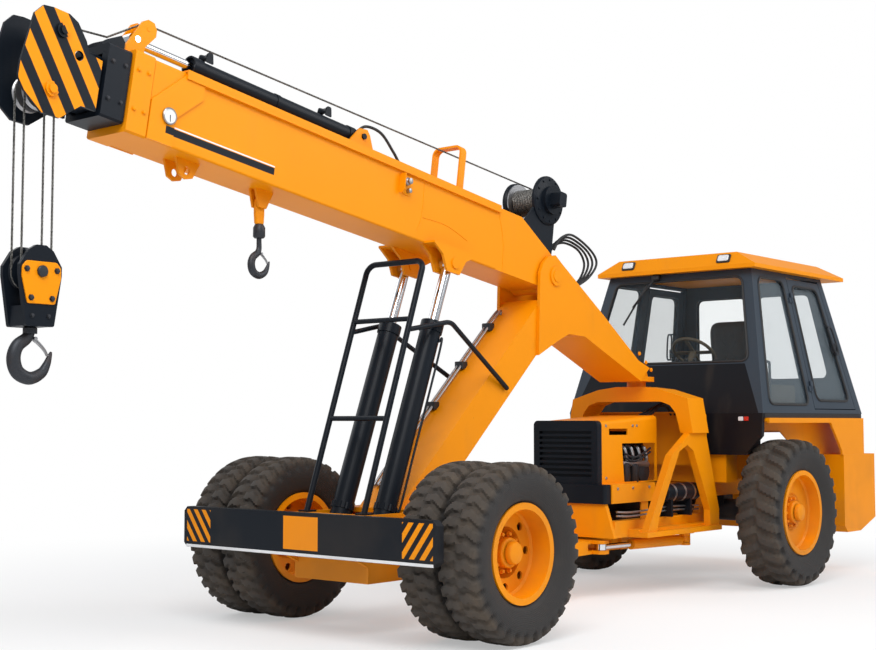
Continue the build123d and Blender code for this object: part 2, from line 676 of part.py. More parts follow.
def lift_barrels():
    """Both barrels on their shared base shaft."""
    axis, length = lift_axis()
    base = Vector(LIFT_BASE_X, 0, LIFT_BASE_Z)
    body = cross_pin(LIFT_BASE_X, LIFT_BASE_Z, LIFT_SHAFT_R, -BASE_FRAME_HALF_W + 4, BASE_FRAME_HALF_W - 4)
    for side in (-1, 1):
        start = base + Vector(0, side * LIFT_Y, 0)
        end = start + axis * LIFT_BARREL_L
        barrel = bar(start, end, LIFT_BARREL_R)
        barrel += bar(end - axis * 70, end, LIFT_BARREL_R + 8)
        barrel += cross_pin(LIFT_BASE_X, LIFT_BASE_Z, 70, side * (LIFT_Y - 50), side * (LIFT_Y + 50))
        body += barrel - bar(start + axis * 110, end + axis, LIFT_ROD_R + ROD_GAP)
    return body


def lift_rods():
    """Both rods, each with its eye between two lugs of the boom."""
    axis, length = lift_axis()
    eye = Vector(LIFT_BASE_X, 0, LIFT_BASE_Z) + axis * length
    half = LIFT_EYE_W / 2
    rods = []
    for side in (-1, 1):
        end = eye + Vector(0, side * LIFT_Y, 0)
        rod = bar(end - axis * LIFT_ROD_L, end - axis * 20, LIFT_ROD_R)
        rods.append(rod + cross_pin(eye.X, eye.Z, LIFT_EYE_R, side * LIFT_Y - half, side * LIFT_Y + half))
    return group(*rods)


# Front frame

def base_frame():
    """The box between the front wheels: it carries axle, lift shaft, bumper and column foot."""
    outer = BASE_FRAME_HALF_W
    inner = outer - BASE_PLATE_T
    cheek = side_plate([(-560, ARM_HIGH_Z), (-560, DECK_Z), (-20, DECK_Z), (90, 775), (BUMPER_FACE_X - BUMPER_T, 775),
                        (BUMPER_FACE_X - BUMPER_T, 560), (430, ARM_HIGH_Z)], inner, outer)
    cheek -= cross_pin(LIFT_BASE_X, LIFT_BASE_Z, LIFT_SHAFT_R + PIN_GAP, 0, 400)
    cheek -= block(-94, 94, 0, 400, 400, FRONT_TYRE_R + AXLE_TUBE_R + 30)
    body = cheek + mirrored(cheek)
    body += block(-560, -530, -inner, inner, ARM_HIGH_Z, DECK_Z)
    body += block(-560, 0, -inner, inner, DECK_Z - BASE_PLATE_T, DECK_Z)
    body += block(400, 430, -inner, inner, ARM_HIGH_Z, 775)
    body += block(430, BUMPER_FACE_X - BUMPER_T, -inner, inner, 745, 775)
    return body


def front_axle():
    """The front drive axle, seated in the base frame's cheeks."""
    tube_end = 640.0
    stub_end = FRONT_TWIN_Y + 120
    centre = FRONT_TYRE_R
    body = cross_pin(0, centre, AXLE_TUBE_R, -tube_end, tube_end)
    body += cross_pin(0, centre, STUB_R, -stub_end, stub_end)
    banjo = Pos(0, 0, centre) * Rot(0, 90, 0) * Cylinder(DIFF_R, 130)
    body += fillet(banjo.edges(), 40)
    body += Pos(0, 0, centre) * Sphere(DIFF_R - 45)
    for side in (-1, 1):
        body += block(-90, 90, side * (BASE_FRAME_HALF_W - BASE_PLATE_T), side * BASE_FRAME_HALF_W,
                      centre, centre + AXLE_TUBE_R + 29.7)
    return body


def gooseneck_column():
    """The slanted box column from the base frame up to the neck plates."""
    foot = DECK_Z + SEAT_GAP
    outline = [(COLUMN_TOP_X, 2290), (-22, foot), (-392, foot), (-1574, 1866), (COLUMN_TOP_X, 1926)]
    body = side_plate(outline, -COLUMN_HALF_W, COLUMN_HALF_W)
    hollow = side_plate([(COLUMN_TOP_X + 14, 2255), (-80, foot + 14), (-370, foot + 14), (-1560, 1892), (COLUMN_TOP_X + 14, 1950)],
                        SHEET_T - COLUMN_HALF_W, COLUMN_HALF_W - SHEET_T)
    return body - hollow


def neck_plates():
    """The two neck plates around the boom tail, running back as the rear arm's sides."""
    outline = [(-1575, 1866), (-1600, 2490), (-1640, 2570), (-1710, 2625), (-1800, 2642), (-1886, 2582), (-2458, 2217),
               (-2971, 1873), (-3145, 1815), (-3060, 1752), (-3011, 1700), (-2191, 2034), (-1971, 2045), (-1812, 1979)]
    plate = side_plate(outline, NECK_HALF_W - NECK_PLATE_T, NECK_HALF_W)
    body = plate + mirrored(plate)
    inner = NECK_HALF_W - NECK_PLATE_T
    top = side_plate([(-2060, 2456), (-2458, 2203), (-2971, 1859), (-3140, 1801), (-3144, 1785), (-2968, 1843),
                      (-2455, 2187), (-2060, 2440)], -inner, inner)
    low = side_plate([(-2060, 2041), (-2191, 2034), (-3011, 1700), (-3011, 1716), (-2191, 2050), (-2060, 2057)],
                     -inner, inner)
    body += top + low
    body += cross_pin(PIVOT_X, PIVOT_Z, PIVOT_PIN_R, -NECK_HALF_W - 18, NECK_HALF_W + 18)
    for side in (-1, 1):
        body += cross_pin(PIVOT_X, PIVOT_Z, 75, side * NECK_HALF_W, side * (NECK_HALF_W + 12))
    return body


def upper_lug():
    """The bearing block at the rear arm's end, over the portal's beam."""
    inner = NECK_HALF_W - NECK_PLATE_T
    low = ARCH_TOP_Z + 45
    body = side_plate([(-3000, low), (-3000, 1852), (-3130, 1800), (-3170, low)], -inner, inner)
    body += upright_pin(STEER_X, 0, 150, low, 1745)
    body += upright_pin(STEER_X, 0, 80, ARCH_TOP_Z + PIN_GAP, low)
    return body + upright_pin(STEER_X, 0, STEER_PIN_R, ARCH_TOP_Z - 120, low)


def lower_arm():
    """The low arm from the base frame back to the lower pivot, with the steering lugs."""
    body = plan_plate([(430, -330), (430, 330), (-1500, 330), (STEER_X, 170), (STEER_X, -170), (-1500, -330)],
                      ARM_LOW_Z, ARM_HIGH_Z)
    body -= block(-260, 260, -240, 240, ARM_LOW_Z - 1, ARM_HIGH_Z + 1)
    body += upright_pin(STEER_X, 0, ARM_LUG_R, ARM_LOW_Z, ARM_HIGH_Z)
    body += upright_pin(STEER_X, 0, STEER_PIN_R, ARM_HIGH_Z, RAIL_LOW_Z + 100)
    x, y = STEER_CYL_FRONT
    gap = STEER_EYE_H / 2 + 4
    lug = plan_plate([(x - 60, y - 130), (x - 60, y + 30), (x - 30, y + 60), (x + 30, y + 60), (x + 60, y + 30),
                      (x + 60, y - 130)], ARM_LOW_Z, ARM_HIGH_Z)
    pocket = upright_pin(x, y, STEER_POCKET_R, STEER_CYL_Z - gap, STEER_CYL_Z + gap)
    pocket += block(x - 320, x + 20, y - STEER_POCKET_R, y + STEER_POCKET_R, STEER_CYL_Z - gap, STEER_CYL_Z + gap)
    notch = block(x - 420, x - 78, ARM_WAIST, y + 120, ARM_LOW_Z - 1, ARM_HIGH_Z + 1)
    body += lug + mirrored(lug)
    body -= pocket + mirrored(pocket) + notch + mirrored(notch)
    eye = STEER_EYE_H / 2 + PIN_GAP
    for side in (-1, 1):
        body += upright_pin(x, side * y, 34, STEER_CYL_Z + eye, STEER_CYL_Z + gap + 1)
        body += upright_pin(x, side * y, 34, STEER_CYL_Z - gap - 1, STEER_CYL_Z - eye)
    return body


def bumper():
    """The deep front bumper: a folded channel with chamfered ends."""
    back = BUMPER_FACE_X - BUMPER_T
    outline = [(-BUMPER_HALF_W, BUMPER_LOW_Z + 30), (-BUMPER_HALF_W + 30, BUMPER_LOW_Z),
               (BUMPER_HALF_W - 30, BUMPER_LOW_Z), (BUMPER_HALF_W, BUMPER_LOW_Z + 30),
               (BUMPER_HALF_W, BUMPER_TOP_Z - 30), (BUMPER_HALF_W - 30, BUMPER_TOP_Z),
               (-BUMPER_HALF_W + 30, BUMPER_TOP_Z), (-BUMPER_HALF_W, BUMPER_TOP_Z - 30)]
    body = front_plate(outline, back, BUMPER_FACE_X)
    for y0, y1 in ((-BUMPER_HALF_W + 20, -BASE_FRAME_HALF_W - 20), (-BASE_FRAME_HALF_W + 20, BASE_FRAME_HALF_W - 20),
                   (BASE_FRAME_HALF_W + 20, BUMPER_HALF_W - 20)):
        body -= block(back - 1, BUMPER_FACE_X - SHEET_T, y0, y1, BUMPER_LOW_Z + 14, BUMPER_TOP_Z - 14)
    return body


def guard_frame():
    """The tube guard in front of the lift cylinders, with rungs and braces to the column."""
    r = GUARD_TUBE_R
    w = GUARD_HALF_W
    foot = (395, 775 + SEAT_GAP)
    top = (-193, 2458)
    lean = (top[0] - foot[0]) / (top[1] - foot[1])

    def leg_x(z):
        """The guard plane's x at a height."""
        return foot[0] + lean * (z - foot[1])

    hoop = bent_tube([(foot[0], -w, foot[1]), (top[0], -w, top[1]), (top[0], w, top[1]), (foot[0], w, foot[1])], r, 70)
    body = hoop
    for z in (1389, 2054):
        body += bar((leg_x(z), -w, z), (leg_x(z), w, z), RUNG_R)
    for side in (-1, 1):
        start = (leg_x(1980), side * w, 1980)
        knee = (-400, side * (LIFT_Y + LIFT_BARREL_R + 50), 2050)
        wall = (-1190, side * (COLUMN_HALF_W + RUNG_R + SEAT_GAP), 1610)
        brace = bent_tube([start, knee, wall], RUNG_R, 120)
        body += brace
        body += block(foot[0] - 45, foot[0] + 35, side * w - 45, side * w + 45, foot[1], foot[1] + 12)
    return body


# Steering cylinders, laid along their own axis on the left side

def steer_axis():
    """Unit vector from the chassis pin to the arm pin, and the distance."""
    path = Vector(STEER_CYL_FRONT[0] - STEER_CYL_REAR[0], STEER_CYL_FRONT[1] - STEER_CYL_REAR[1], 0)
    return path.normalized(), path.length


def steer_barrel():
    """A steering cylinder's barrel on its chassis pin."""
    axis, length = steer_axis()
    pin = Vector(STEER_CYL_REAR[0], STEER_CYL_REAR[1], STEER_CYL_Z)
    end = pin + axis * STEER_BARREL_L
    half = STEER_EYE_H / 2
    body = bar(pin + axis * (STEER_EYE_R + 28), end, STEER_BARREL_R)
    body += bar(pin + axis * 20, pin + axis * 90, half)
    body += upright_pin(pin.X, pin.Y, STEER_EYE_R, STEER_CYL_Z - half, STEER_CYL_Z + half)
    body -= upright_pin(pin.X, pin.Y, STEER_EYE_PIN_R + PIN_GAP, STEER_CYL_Z - 60, STEER_CYL_Z + 60)
    return body - bar(pin + axis * 110, end + axis, STEER_ROD_R + ROD_GAP)


def steer_rod():
    """A steering cylinder's rod with its eye and pin at the arm."""
    axis, length = steer_axis()
    pin = Vector(STEER_CYL_FRONT[0], STEER_CYL_FRONT[1], STEER_CYL_Z)
    half = STEER_EYE_H / 2
    body = bar(pin - axis * STEER_ROD_L, pin, STEER_ROD_R)
    return body + upright_pin(pin.X, pin.Y, STEER_EYE_R, STEER_CYL_Z - half, STEER_CYL_Z + half)


# Rear frame

def chassis_frame():
    """Two rails that rise over the rear axle, with cross members, pivot seat and steering brackets."""
    outline = [(HOOD_FRONT_X - 40, RAIL_LOW_Z), (-3620, RAIL_LOW_Z), (-3780, 735), (-4330, 735), (-4480, RAIL_LOW_Z + 60),
               (WEIGHT_FRONT_X + SEAT_GAP, RAIL_LOW_Z + 60), (WEIGHT_FRONT_X + SEAT_GAP, 720), (-4420, 860), (-3700, 860),
               (-3540, RAIL_TOP_Z), (HOOD_FRONT_X - 40, RAIL_TOP_Z)]
    rail = side_plate(outline, RAIL_Y - RAIL_W / 2, RAIL_Y + RAIL_W / 2)
    body = rail + mirrored(rail)
    inner = RAIL_Y - RAIL_W / 2
    seat = block(STEER_X - 150, STEER_X + 150, -inner, inner, RAIL_LOW_Z, RAIL_TOP_Z)
    seat -= upright_pin(STEER_X, 0, STEER_PIN_R + PIN_GAP, 400, 700)
    body += seat
    for x in (-4900, -3760):
        body += block(x - 50, x + 50, -inner, inner, 740 if x > -4000 else 600, 840 if x > -4000 else 700)
    front = front_plate([(-455, RAIL_LOW_Z), (455, RAIL_LOW_Z), (370, 730), (-370, 730)],
                        HOOD_FRONT_X - 40, HOOD_FRONT_X)
    return body + front


def steering_brackets():
    """The bracket and pin under each rail that hold a steering cylinder's rear eye."""
    x, y = STEER_CYL_REAR
    gap = STEER_EYE_H / 2 + 3
    foot_z = STEER_CYL_Z + STEER_EYE_R + 4
    bracket = block(x - 60, x + 60, RAIL_Y - 20, y + 55, foot_z, RAIL_LOW_Z - SEAT_GAP)
    bracket += upright_pin(x, y, STEER_EYE_R, STEER_CYL_Z + gap, foot_z + 1)
    bracket += upright_pin(x, y, STEER_EYE_PIN_R, STEER_CYL_Z - gap - 10, STEER_CYL_Z + gap)
    bracket += upright_pin(x, y, STEER_EYE_R, STEER_CYL_Z - gap - 20, STEER_CYL_Z - gap)
    return group(bracket, mirrored(bracket))


def rear_axle():
    """The rear drive axle, hung under the rails' arch."""
    centre = REAR_TYRE_R
    tube_end = REAR_WHEEL_Y + REAR_RIM_W / 2 - REAR_MOUNT_DEPTH - 40
    body = cross_pin(REAR_AXLE_X, centre, AXLE_TUBE_R, -tube_end, tube_end)
    stub_end = REAR_WHEEL_Y + REAR_RIM_W / 2 - REAR_DISH
    body += cross_pin(REAR_AXLE_X, centre, STUB_R, -stub_end, stub_end)
    banjo = Pos(REAR_AXLE_X, 0, centre) * Rot(0, 90, 0) * Cylinder(DIFF_R, 130)
    body += fillet(banjo.edges(), 40)
    body += Pos(REAR_AXLE_X, 0, centre) * Sphere(DIFF_R - 45)
    for side in (-1, 1):
        body += block(REAR_AXLE_X - 80, REAR_AXLE_X + 80, side * (RAIL_Y - 45), side * (RAIL_Y + 45),
                      centre, 735 - SEAT_GAP)
    return body


def engine_block():
    """The engine and radiator as one plain block on the rails' cross member."""
    low = RAIL_TOP_Z + SEAT_GAP
    body = block(-3020, -2330, -210, 210, low + 60, 1290)
    body += block(-2900, -2450, -RAIL_Y + RAIL_W / 2 + SEAT_GAP, RAIL_Y - RAIL_W / 2 - SEAT_GAP, RAIL_TOP_Z - 60, low + 61)
    return fillet(body.edges().filter_by(Axis.X).group_by(Axis.Z)[-1], 40)


def engine_hood():
    """The hood over the engine: sheet sides with their openings and a rounded top."""
    front = HOOD_FRONT_X - GRILLE_T - SEAT_GAP
    body = side_plate([(front, HOOD_LOW_Z), (front, HOOD_TOP_FRONT), (HOOD_REAR_X, HOOD_TOP_REAR), (HOOD_REAR_X, HOOD_LOW_Z)],
                      -HOOD_HALF_W, HOOD_HALF_W)
    top_edges = body.edges().filter_by(lambda e: abs(e.center().Y) > HOOD_HALF_W - 1 and e.center().Z > 1380)
    body = fillet(top_edges, 34)
    t = SHEET_T
    body -= side_plate([(front + 1, HOOD_LOW_Z - 1), (front + 1, HOOD_TOP_FRONT - t), (HOOD_REAR_X - 1, HOOD_TOP_REAR - t),
                        (HOOD_REAR_X - 1, HOOD_LOW_Z - 1)], t - HOOD_HALF_W, HOOD_HALF_W - t)
    body -= block(-2645, -2375, -400, 400, 1262, 1312)
    opening = side_plate([(-2590, HOOD_LOW_Z + 8), (-2560, 1195), (HOOD_REAR_X + 20, 1195), (HOOD_REAR_X + 20, HOOD_LOW_Z + 8)],
                         -400, 400, 12)
    return body - opening


def hood_skirt():
    """The folded side plates under the hood, from the front box back to the A-frames."""
    plate = block(-2890, HOOD_FRONT_X - GRILLE_T - SEAT_GAP, 388, 400, 732, HOOD_LOW_Z)
    shelf = block(-2890, HOOD_FRONT_X - GRILLE_T - SEAT_GAP, HOOD_HALF_W - 40, 388, HOOD_LOW_Z - 12, HOOD_LOW_Z)
    post = block(-2800, -2700, 376, 388, RAIL_TOP_Z + SEAT_GAP, HOOD_LOW_Z - 12)
    left = plate + shelf + post
    return left + mirrored(left)


def radiator_grille():
    """The black grille shell with its louvre slots, and the box below it."""
    back = HOOD_FRONT_X - GRILLE_T
    shell = block(back, HOOD_FRONT_X, -HOOD_HALF_W - 6, HOOD_HALF_W + 6, HOOD_LOW_Z + SEAT_GAP, HOOD_TOP_FRONT + 6)
    corners = shell.edges().filter_by(Axis.X).group_by(Axis.Z)[-1]
    shell = fillet(corners, 40)
    for index in range(9):
        z = 935 + index * 42
        shell -= block(HOOD_FRONT_X - 22, HOOD_FRONT_X + 1, -250, 250, z, z + 22)
    box = block(back, HOOD_FRONT_X + 22, -386, 386, 731, HOOD_LOW_Z)
    box = fillet(box.edges().filter_by(Axis.Z).group_by(Axis.X)[-1], 30)
    return shell + box


def pivot_arch():
    """The portal beam over the engine that carries the upper pivot."""
    back = ARCH_FRONT_X - ARCH_T
    outer = [(-615, 1275), (-565, 1560), (-300, ARCH_TOP_Z - 22), (-120, ARCH_TOP_Z), (120, ARCH_TOP_Z),
             (300, ARCH_TOP_Z - 22), (565, 1560), (615, 1275), (500, 1275), (455, 1440), (400, 1505), (310, 1535),
             (-310, 1535), (-400, 1505), (-455, 1440), (-500, 1275)]
    body = front_plate(outer, back, ARCH_FRONT_X)
    return body - upright_pin(STEER_X, 0, STEER_PIN_R + PIN_GAP, 1500, 1700)


def a_frame():
    """The left A-frame: two raked legs from the rail's outrigger up to the portal's foot."""
    y0 = A_FRAME_Y - A_FRAME_T / 2
    y1 = A_FRAME_Y + A_FRAME_T / 2
    top = 1275 - SEAT_GAP
    outer = side_plate([(ARCH_FRONT_X, top), (-2840, 1100), (-2440, RAIL_LOW_Z), (-2590, RAIL_LOW_Z), (-2640, 620),
                        (-2960, 1130), (-3085, 1180), (-3180, 1130), (-3440, 640), (-3440, RAIL_LOW_Z), (-3590, RAIL_LOW_Z),
                        (-3590, 640), (ARCH_FRONT_X - ARCH_T, top)], y0, y1)
    foot = block(-3600, -2430, RAIL_Y + RAIL_W / 2 + SEAT_GAP, y0, RAIL_LOW_Z, RAIL_LOW_Z + 60)
    sill = block(-3600, -2430, y0, y1 + 20, RAIL_LOW_Z, RAIL_LOW_Z + 40)
    return outer + foot + sill


def rear_enclosure():
    """The yellow housing between the portal and the cab."""
    body = block(-3560, ARCH_FRONT_X - ARCH_T - SEAT_GAP, -500, 500, 1000, 1450)
    body = fillet(body.edges().filter_by(Axis.X).group_by(Axis.Z)[-1], 40)
    return body - block(-3548, -3370, -488, 488, 999, 1438)


def air_tank():
    """The black air tank on its strap bracket beside the left rail."""
    z = 792.0
    tank = bar((TANK_X[0], 450, z), (TANK_X[1], 450, z), 72)
    tank = fillet(tank.edges(), 22)
    bracket = block(-3300, -3270, RAIL_Y - 20, 500, RAIL_TOP_Z + SEAT_GAP, z - 50)
    bracket += block(-3000, -2970, RAIL_Y - 20, 500, RAIL_TOP_Z + SEAT_GAP, z - 50)
    return tank + bracket


def cab_subframe():
    """The housing and beams that carry the cab over the rear wheels."""
    low = RAIL_Y - RAIL_W / 2
    high = RAIL_Y + RAIL_W / 2
    top = CAB_SILL_Z - CAB_FLOOR_T - SEAT_GAP
    body = block(-3900, -3705, -600, 600, 855, PANEL_LOW_Z - SEAT_GAP)
    for side in (-1, 1):
        body += block(-5600, -3985, side * low, side * high, top - 130, top)
        body += block(-4120, -3985, side * low, side * high, 855, top - 129)
        body += block(-5400, -5300, side * low, side * high, WEIGHT_TOP_Z + SEAT_GAP, top - 129)
    return body


def rear_fenders():
    """The fender over each rear wheel, with its rear quarter down to the counterweight."""
    inner = REAR_WHEEL_Y - REAR_TYRE_W / 2 - 30
    outer = WEIGHT_HALF_W - 2
    high = CAB_SILL_Z - CAB_FLOOR_T - SEAT_GAP
    low = high - FENDER_T
    top = block(-5600, -3720, inner, outer, low, high)
    edge = block(-5600, -3720, outer - 20, outer, low - 12, high)
    quarter = side_plate([(-4890, low + 2), (-5130, 1100), (-5130, WEIGHT_TOP_Z + SEAT_GAP), (-5600, WEIGHT_TOP_Z + SEAT_GAP),
                          (-5600, low + 2)], outer - 20, outer)
    inner_wall = side_plate([(-4000, low + 2), (-4000, 1290), (-4300, 1290), (-4700, WEIGHT_TOP_Z + SEAT_GAP),
                             (-5600, WEIGHT_TOP_Z + SEAT_GAP), (-5600, low + 2)], inner, inner + SHEET_T)
    left = top + edge + quarter + inner_wall
    return left + mirrored(left)


def counterweight():
    """The cast counterweight block behind the rails."""
    outline = [(WEIGHT_FRONT_X, WEIGHT_LOW_Z + 60), (WEIGHT_FRONT_X, WEIGHT_TOP_Z), (TAIL_X, WEIGHT_TOP_Z),
               (TAIL_X, 480), (-5490, WEIGHT_LOW_Z), (WEIGHT_FRONT_X - 60, WEIGHT_LOW_Z)]
    return side_plate(outline, -WEIGHT_HALF_W, WEIGHT_HALF_W)


# Cab: a hollow frustum, cut into its real panels

def cab_volume(inset):
    """The cab's tapering volume, smaller on every side by inset."""
    lower = Pos((CAB_FRONT_SILL_X + CAB_REAR_SILL_X) / 2, 0, CAB_SILL_Z) * Rectangle(
        CAB_FRONT_SILL_X - CAB_REAR_SILL_X - 2 * inset, 2 * (CAB_SILL_HALF_W - inset))
    upper = Pos((CAB_FRONT_EAVE_X + CAB_REAR_EAVE_X) / 2, 0, CAB_EAVE_Z) * Rectangle(
        CAB_FRONT_EAVE_X - CAB_REAR_EAVE_X - 2 * inset, 2 * (CAB_EAVE_HALF_W - inset))
    return loft([lower.face(), upper.face()])


def cab_edge_x(sill_x, eave_x, z):
    """The x of a leaning cab line at a height."""
    share = (z - CAB_SILL_Z) / (CAB_EAVE_Z - CAB_SILL_Z)
    return sill_x + share * (eave_x - sill_x)


def cab_half_w(z):
    """The cab's half width at a height."""
    share = (z - CAB_SILL_Z) / (CAB_EAVE_Z - CAB_SILL_Z)
    return CAB_SILL_HALF_W + share * (CAB_EAVE_HALF_W - CAB_SILL_HALF_W)


def side_region(front_sill, front_eave, rear_sill, rear_eave, low_z, top_z, corner):
    """A prism across the cab's left wall, between two leaning lines."""
    points = [(cab_edge_x(front_sill, front_eave, low_z), low_z), (cab_edge_x(front_sill, front_eave, top_z), top_z),
              (cab_edge_x(rear_sill, rear_eave, top_z), top_z), (cab_edge_x(rear_sill, rear_eave, low_z), low_z)]
    return side_plate(points, 400, 1100, corner)


def face_region(x0, x1, low_z, top_z, margin, corner):
    """A prism across the cab's front or rear wall, following the leaning sides."""
    low_w = cab_half_w(low_z) - margin
    top_w = cab_half_w(top_z) - margin
    return front_plate([(-low_w, low_z), (low_w, low_z), (top_w, top_z), (-top_w, top_z)], x0, x1, corner)


def door_region(gap, top_gap):
    """The left door's outline, behind the B-pillar.

    The hinge line leans inwards, so the door rises as it opens and needs more room above.
    """
    return side_region(B_PILLAR_SILL_X - 45 - gap, B_PILLAR_EAVE_X - 45 - gap, DOOR_REAR_SILL_X + gap,
                       DOOR_REAR_EAVE_X + gap, DOOR_LOW_Z + gap, DOOR_TOP_Z - top_gap, 0)


def door_window_region():
    """The window cut through the left door."""
    return side_region(B_PILLAR_SILL_X - 125, B_PILLAR_EAVE_X - 115, DOOR_REAR_SILL_X + 90, DOOR_REAR_EAVE_X + 85,
                       DOOR_LOW_Z + 80, DOOR_TOP_Z - 75, 60)


def side_window_region():
    """The front side window, between the A-pillar and the B-pillar."""
    return side_region(CAB_FRONT_SILL_X - 130, CAB_FRONT_EAVE_X - 100, B_PILLAR_SILL_X + 50, B_PILLAR_EAVE_X + 45,
                       CAB_SILL_Z + 75, CAB_EAVE_Z - 70, 60)


def windshield_region():
    """The windshield's outline."""
    return face_region(-4200, -3500, PANEL_TOP_Z + 20, CAB_EAVE_Z - 65, 95, 50)


def rear_window_regions():
    """Two tall rear windows."""
    left = front_plate([(60, CAB_SILL_Z + 330), (700, CAB_SILL_Z + 330), (590, CAB_EAVE_Z - 120), (60, CAB_EAVE_Z - 120)],
                       -5800, -5100, 70)
    return left + mirrored(left)


def panel_region(grow):
    """The dark lower front panel's outline, in front of the A-pillars."""
    top = PANEL_TOP_Z + grow
    return front_plate([(-CAB_SILL_HALF_W + 40 - grow, CAB_SILL_Z - 1), (CAB_SILL_HALF_W - 40 + grow, CAB_SILL_Z - 1),
                        (cab_half_w(top) - 130 + grow, top), (grow * -1 + 130 - cab_half_w(top), top)], -3900, -3500)


def door_hinge(z, on_door):
    """One half of a left door hinge: half of the knuckle and its leaf."""
    rise = CAB_EAVE_Z - CAB_SILL_Z
    lean = Vector(B_PILLAR_EAVE_X - B_PILLAR_SILL_X, CAB_EAVE_HALF_W - CAB_SILL_HALF_W, rise)
    outward = Vector(0, rise, CAB_SILL_HALF_W - CAB_EAVE_HALF_W).normalized()
    centre = Vector(cab_edge_x(B_PILLAR_SILL_X, B_PILLAR_EAVE_X, z) - 45 - DOOR_GAP / 2, cab_half_w(z), z)
    place = Plane(centre + outward * HINGE_STAND_OFF, x_dir=outward, z_dir=lean)
    seat = (Align.MAX, Align.MIN if on_door else Align.MAX, Align.MIN if on_door else Align.MAX)
    length = HINGE_L / 2 - SEAT_GAP / 2
    shift = Pos(0, 0, SEAT_GAP / 2 if on_door else -SEAT_GAP / 2)
    knuckle = Cylinder(HINGE_R, length, align=(Align.CENTER, Align.CENTER, seat[2]))
    leaf = Box(HINGE_STAND_OFF + 2, 46, length, align=seat)
    slot = Box(HINGE_STAND_OFF + 4, DOOR_GAP + 6, length, align=(Align.MAX, Align.CENTER, seat[2]))
    return place * shift * (leaf - Pos(-2, 0, 0) * slot + knuckle)


def build_cab():
    """All the cab's nodes, cut from one wall."""
    wall = cab_volume(0) - cab_volume(CAB_WALL)
    skin = cab_volume(GLASS_INSET) - cab_volume(GLASS_INSET + GLASS_T)
    panes = [windshield_region(), side_window_region(), mirrored(side_window_region()), rear_window_regions()]
    frame = wall
    for opening in panes:
        frame -= opening
    door_hole = door_region(0, 0)
    frame -= door_hole + mirrored(door_hole)
    panel = (wall & panel_region(0)) - windshield_region()
    frame -= panel_region(0.2)
    glass = Compound([solid for opening in panes for solid in (skin & opening).solids()])
    door = (wall & door_region(DOOR_GAP, DOOR_TOP_GAP)) - door_window_region()
    for z in HINGE_HEIGHTS:
        fixed = door_hinge(z, False)
        frame += fixed + mirrored(fixed)
        door += door_hinge(z, True)
    door_glass = skin & door_window_region()
    return frame, panel, glass, door, door_glass


def cab_front_panel(upper):
    """The dark front panel: the wall part above the sill and the footwell below it."""
    outline = [(-800, PANEL_LOW_Z), (800, PANEL_LOW_Z), (955, 1250), (965, CAB_SILL_Z - SEAT_GAP),
               (-965, CAB_SILL_Z - SEAT_GAP), (-955, 1250)]
    apron = front_plate(outline, CAB_FRONT_SILL_X - CAB_WALL, CAB_FRONT_SILL_X)
    well = block(-3980, CAB_FRONT_SILL_X - CAB_WALL, -780, 780, PANEL_LOW_Z, CAB_SILL_Z - CAB_FLOOR_T - SEAT_GAP)
    well -= block(-3968, CAB_FRONT_SILL_X - CAB_WALL + 1, -768, 768, PANEL_LOW_Z + SHEET_T, CAB_SILL_Z)
    return Compound(list(upper.solids()) + list((apron + well).solids()))


def cab_floor():
    """The floor plate, open over the footwell."""
    body = block(CAB_REAR_SILL_X + 4, CAB_FRONT_SILL_X - CAB_WALL - SEAT_GAP, 4 - CAB_SILL_HALF_W,
                 CAB_SILL_HALF_W - 4, CAB_SILL_Z - CAB_FLOOR_T, CAB_SILL_Z - SEAT_GAP)
    return body - block(-3966, -3600, -766, 766, 1300, 1500)


def cab_roof():
    """The roof cap with its sloping brim."""
    lower = Pos((-3885 - 5660) / 2, 0, ROOF_LOW_Z) * Rectangle(5660 - 3885, 2 * 800)
    brim = Pos((-3885 - 5660) / 2, 0, ROOF_LOW_Z + 34) * Rectangle(5660 - 3885, 2 * 800)
    upper = Pos((-3945 - 5520) / 2, 0, ROOF_TOP_Z) * Rectangle(5520 - 3945, 2 * 600)
    body = loft([lower.face(), brim.face()]) + loft([brim.face(), upper.face()])
    return body


def driver_seat():
    """The operator's seat: pedestal, cushion and back."""
    base = block(-4900, -4560, -160, 160, CAB_SILL_Z, 1640)
    cushion = block(-4960, -4450, -250, 250, 1640, 1760)
    cushion = fillet(cushion.edges(), 35)
    back = side_plate([(-4900, 1700), (-4960, 2330), (-5060, 2330), (-5010, 1700)], -230, 230)
    back = fillet(back.edges(), 30)
    return base + cushion + back


def steering_column():
    """The steering wheel on its column and console."""
    console = block(-4120, -3985, -150, 150, CAB_SILL_Z, 1800)
    column = bar((-4060, 0, 1780), (-4230, 0, 1990), 32)
    tilt = Plane((-4230, 0, 1990), z_dir=(-170, 0, 210))
    ring = tilt * Torus(190, 15)
    spokes = tilt * Box(380, 34, 12) + tilt * Box(34, 380, 12)
    return console + column + ring + spokes


def side_console():
    """The lever console beside the seat."""
    body = block(-5100, -4350, 330, 560, CAB_SILL_Z, 1700)
    return fillet(body.edges().filter_by(Axis.Y).group_by(Axis.Z)[-1], 40)


def centre_shift(head):
    """How far the machine moves along X so that its length is centred on the origin."""
    return -(head.bounding_box().max.X + TAIL_X) / 2


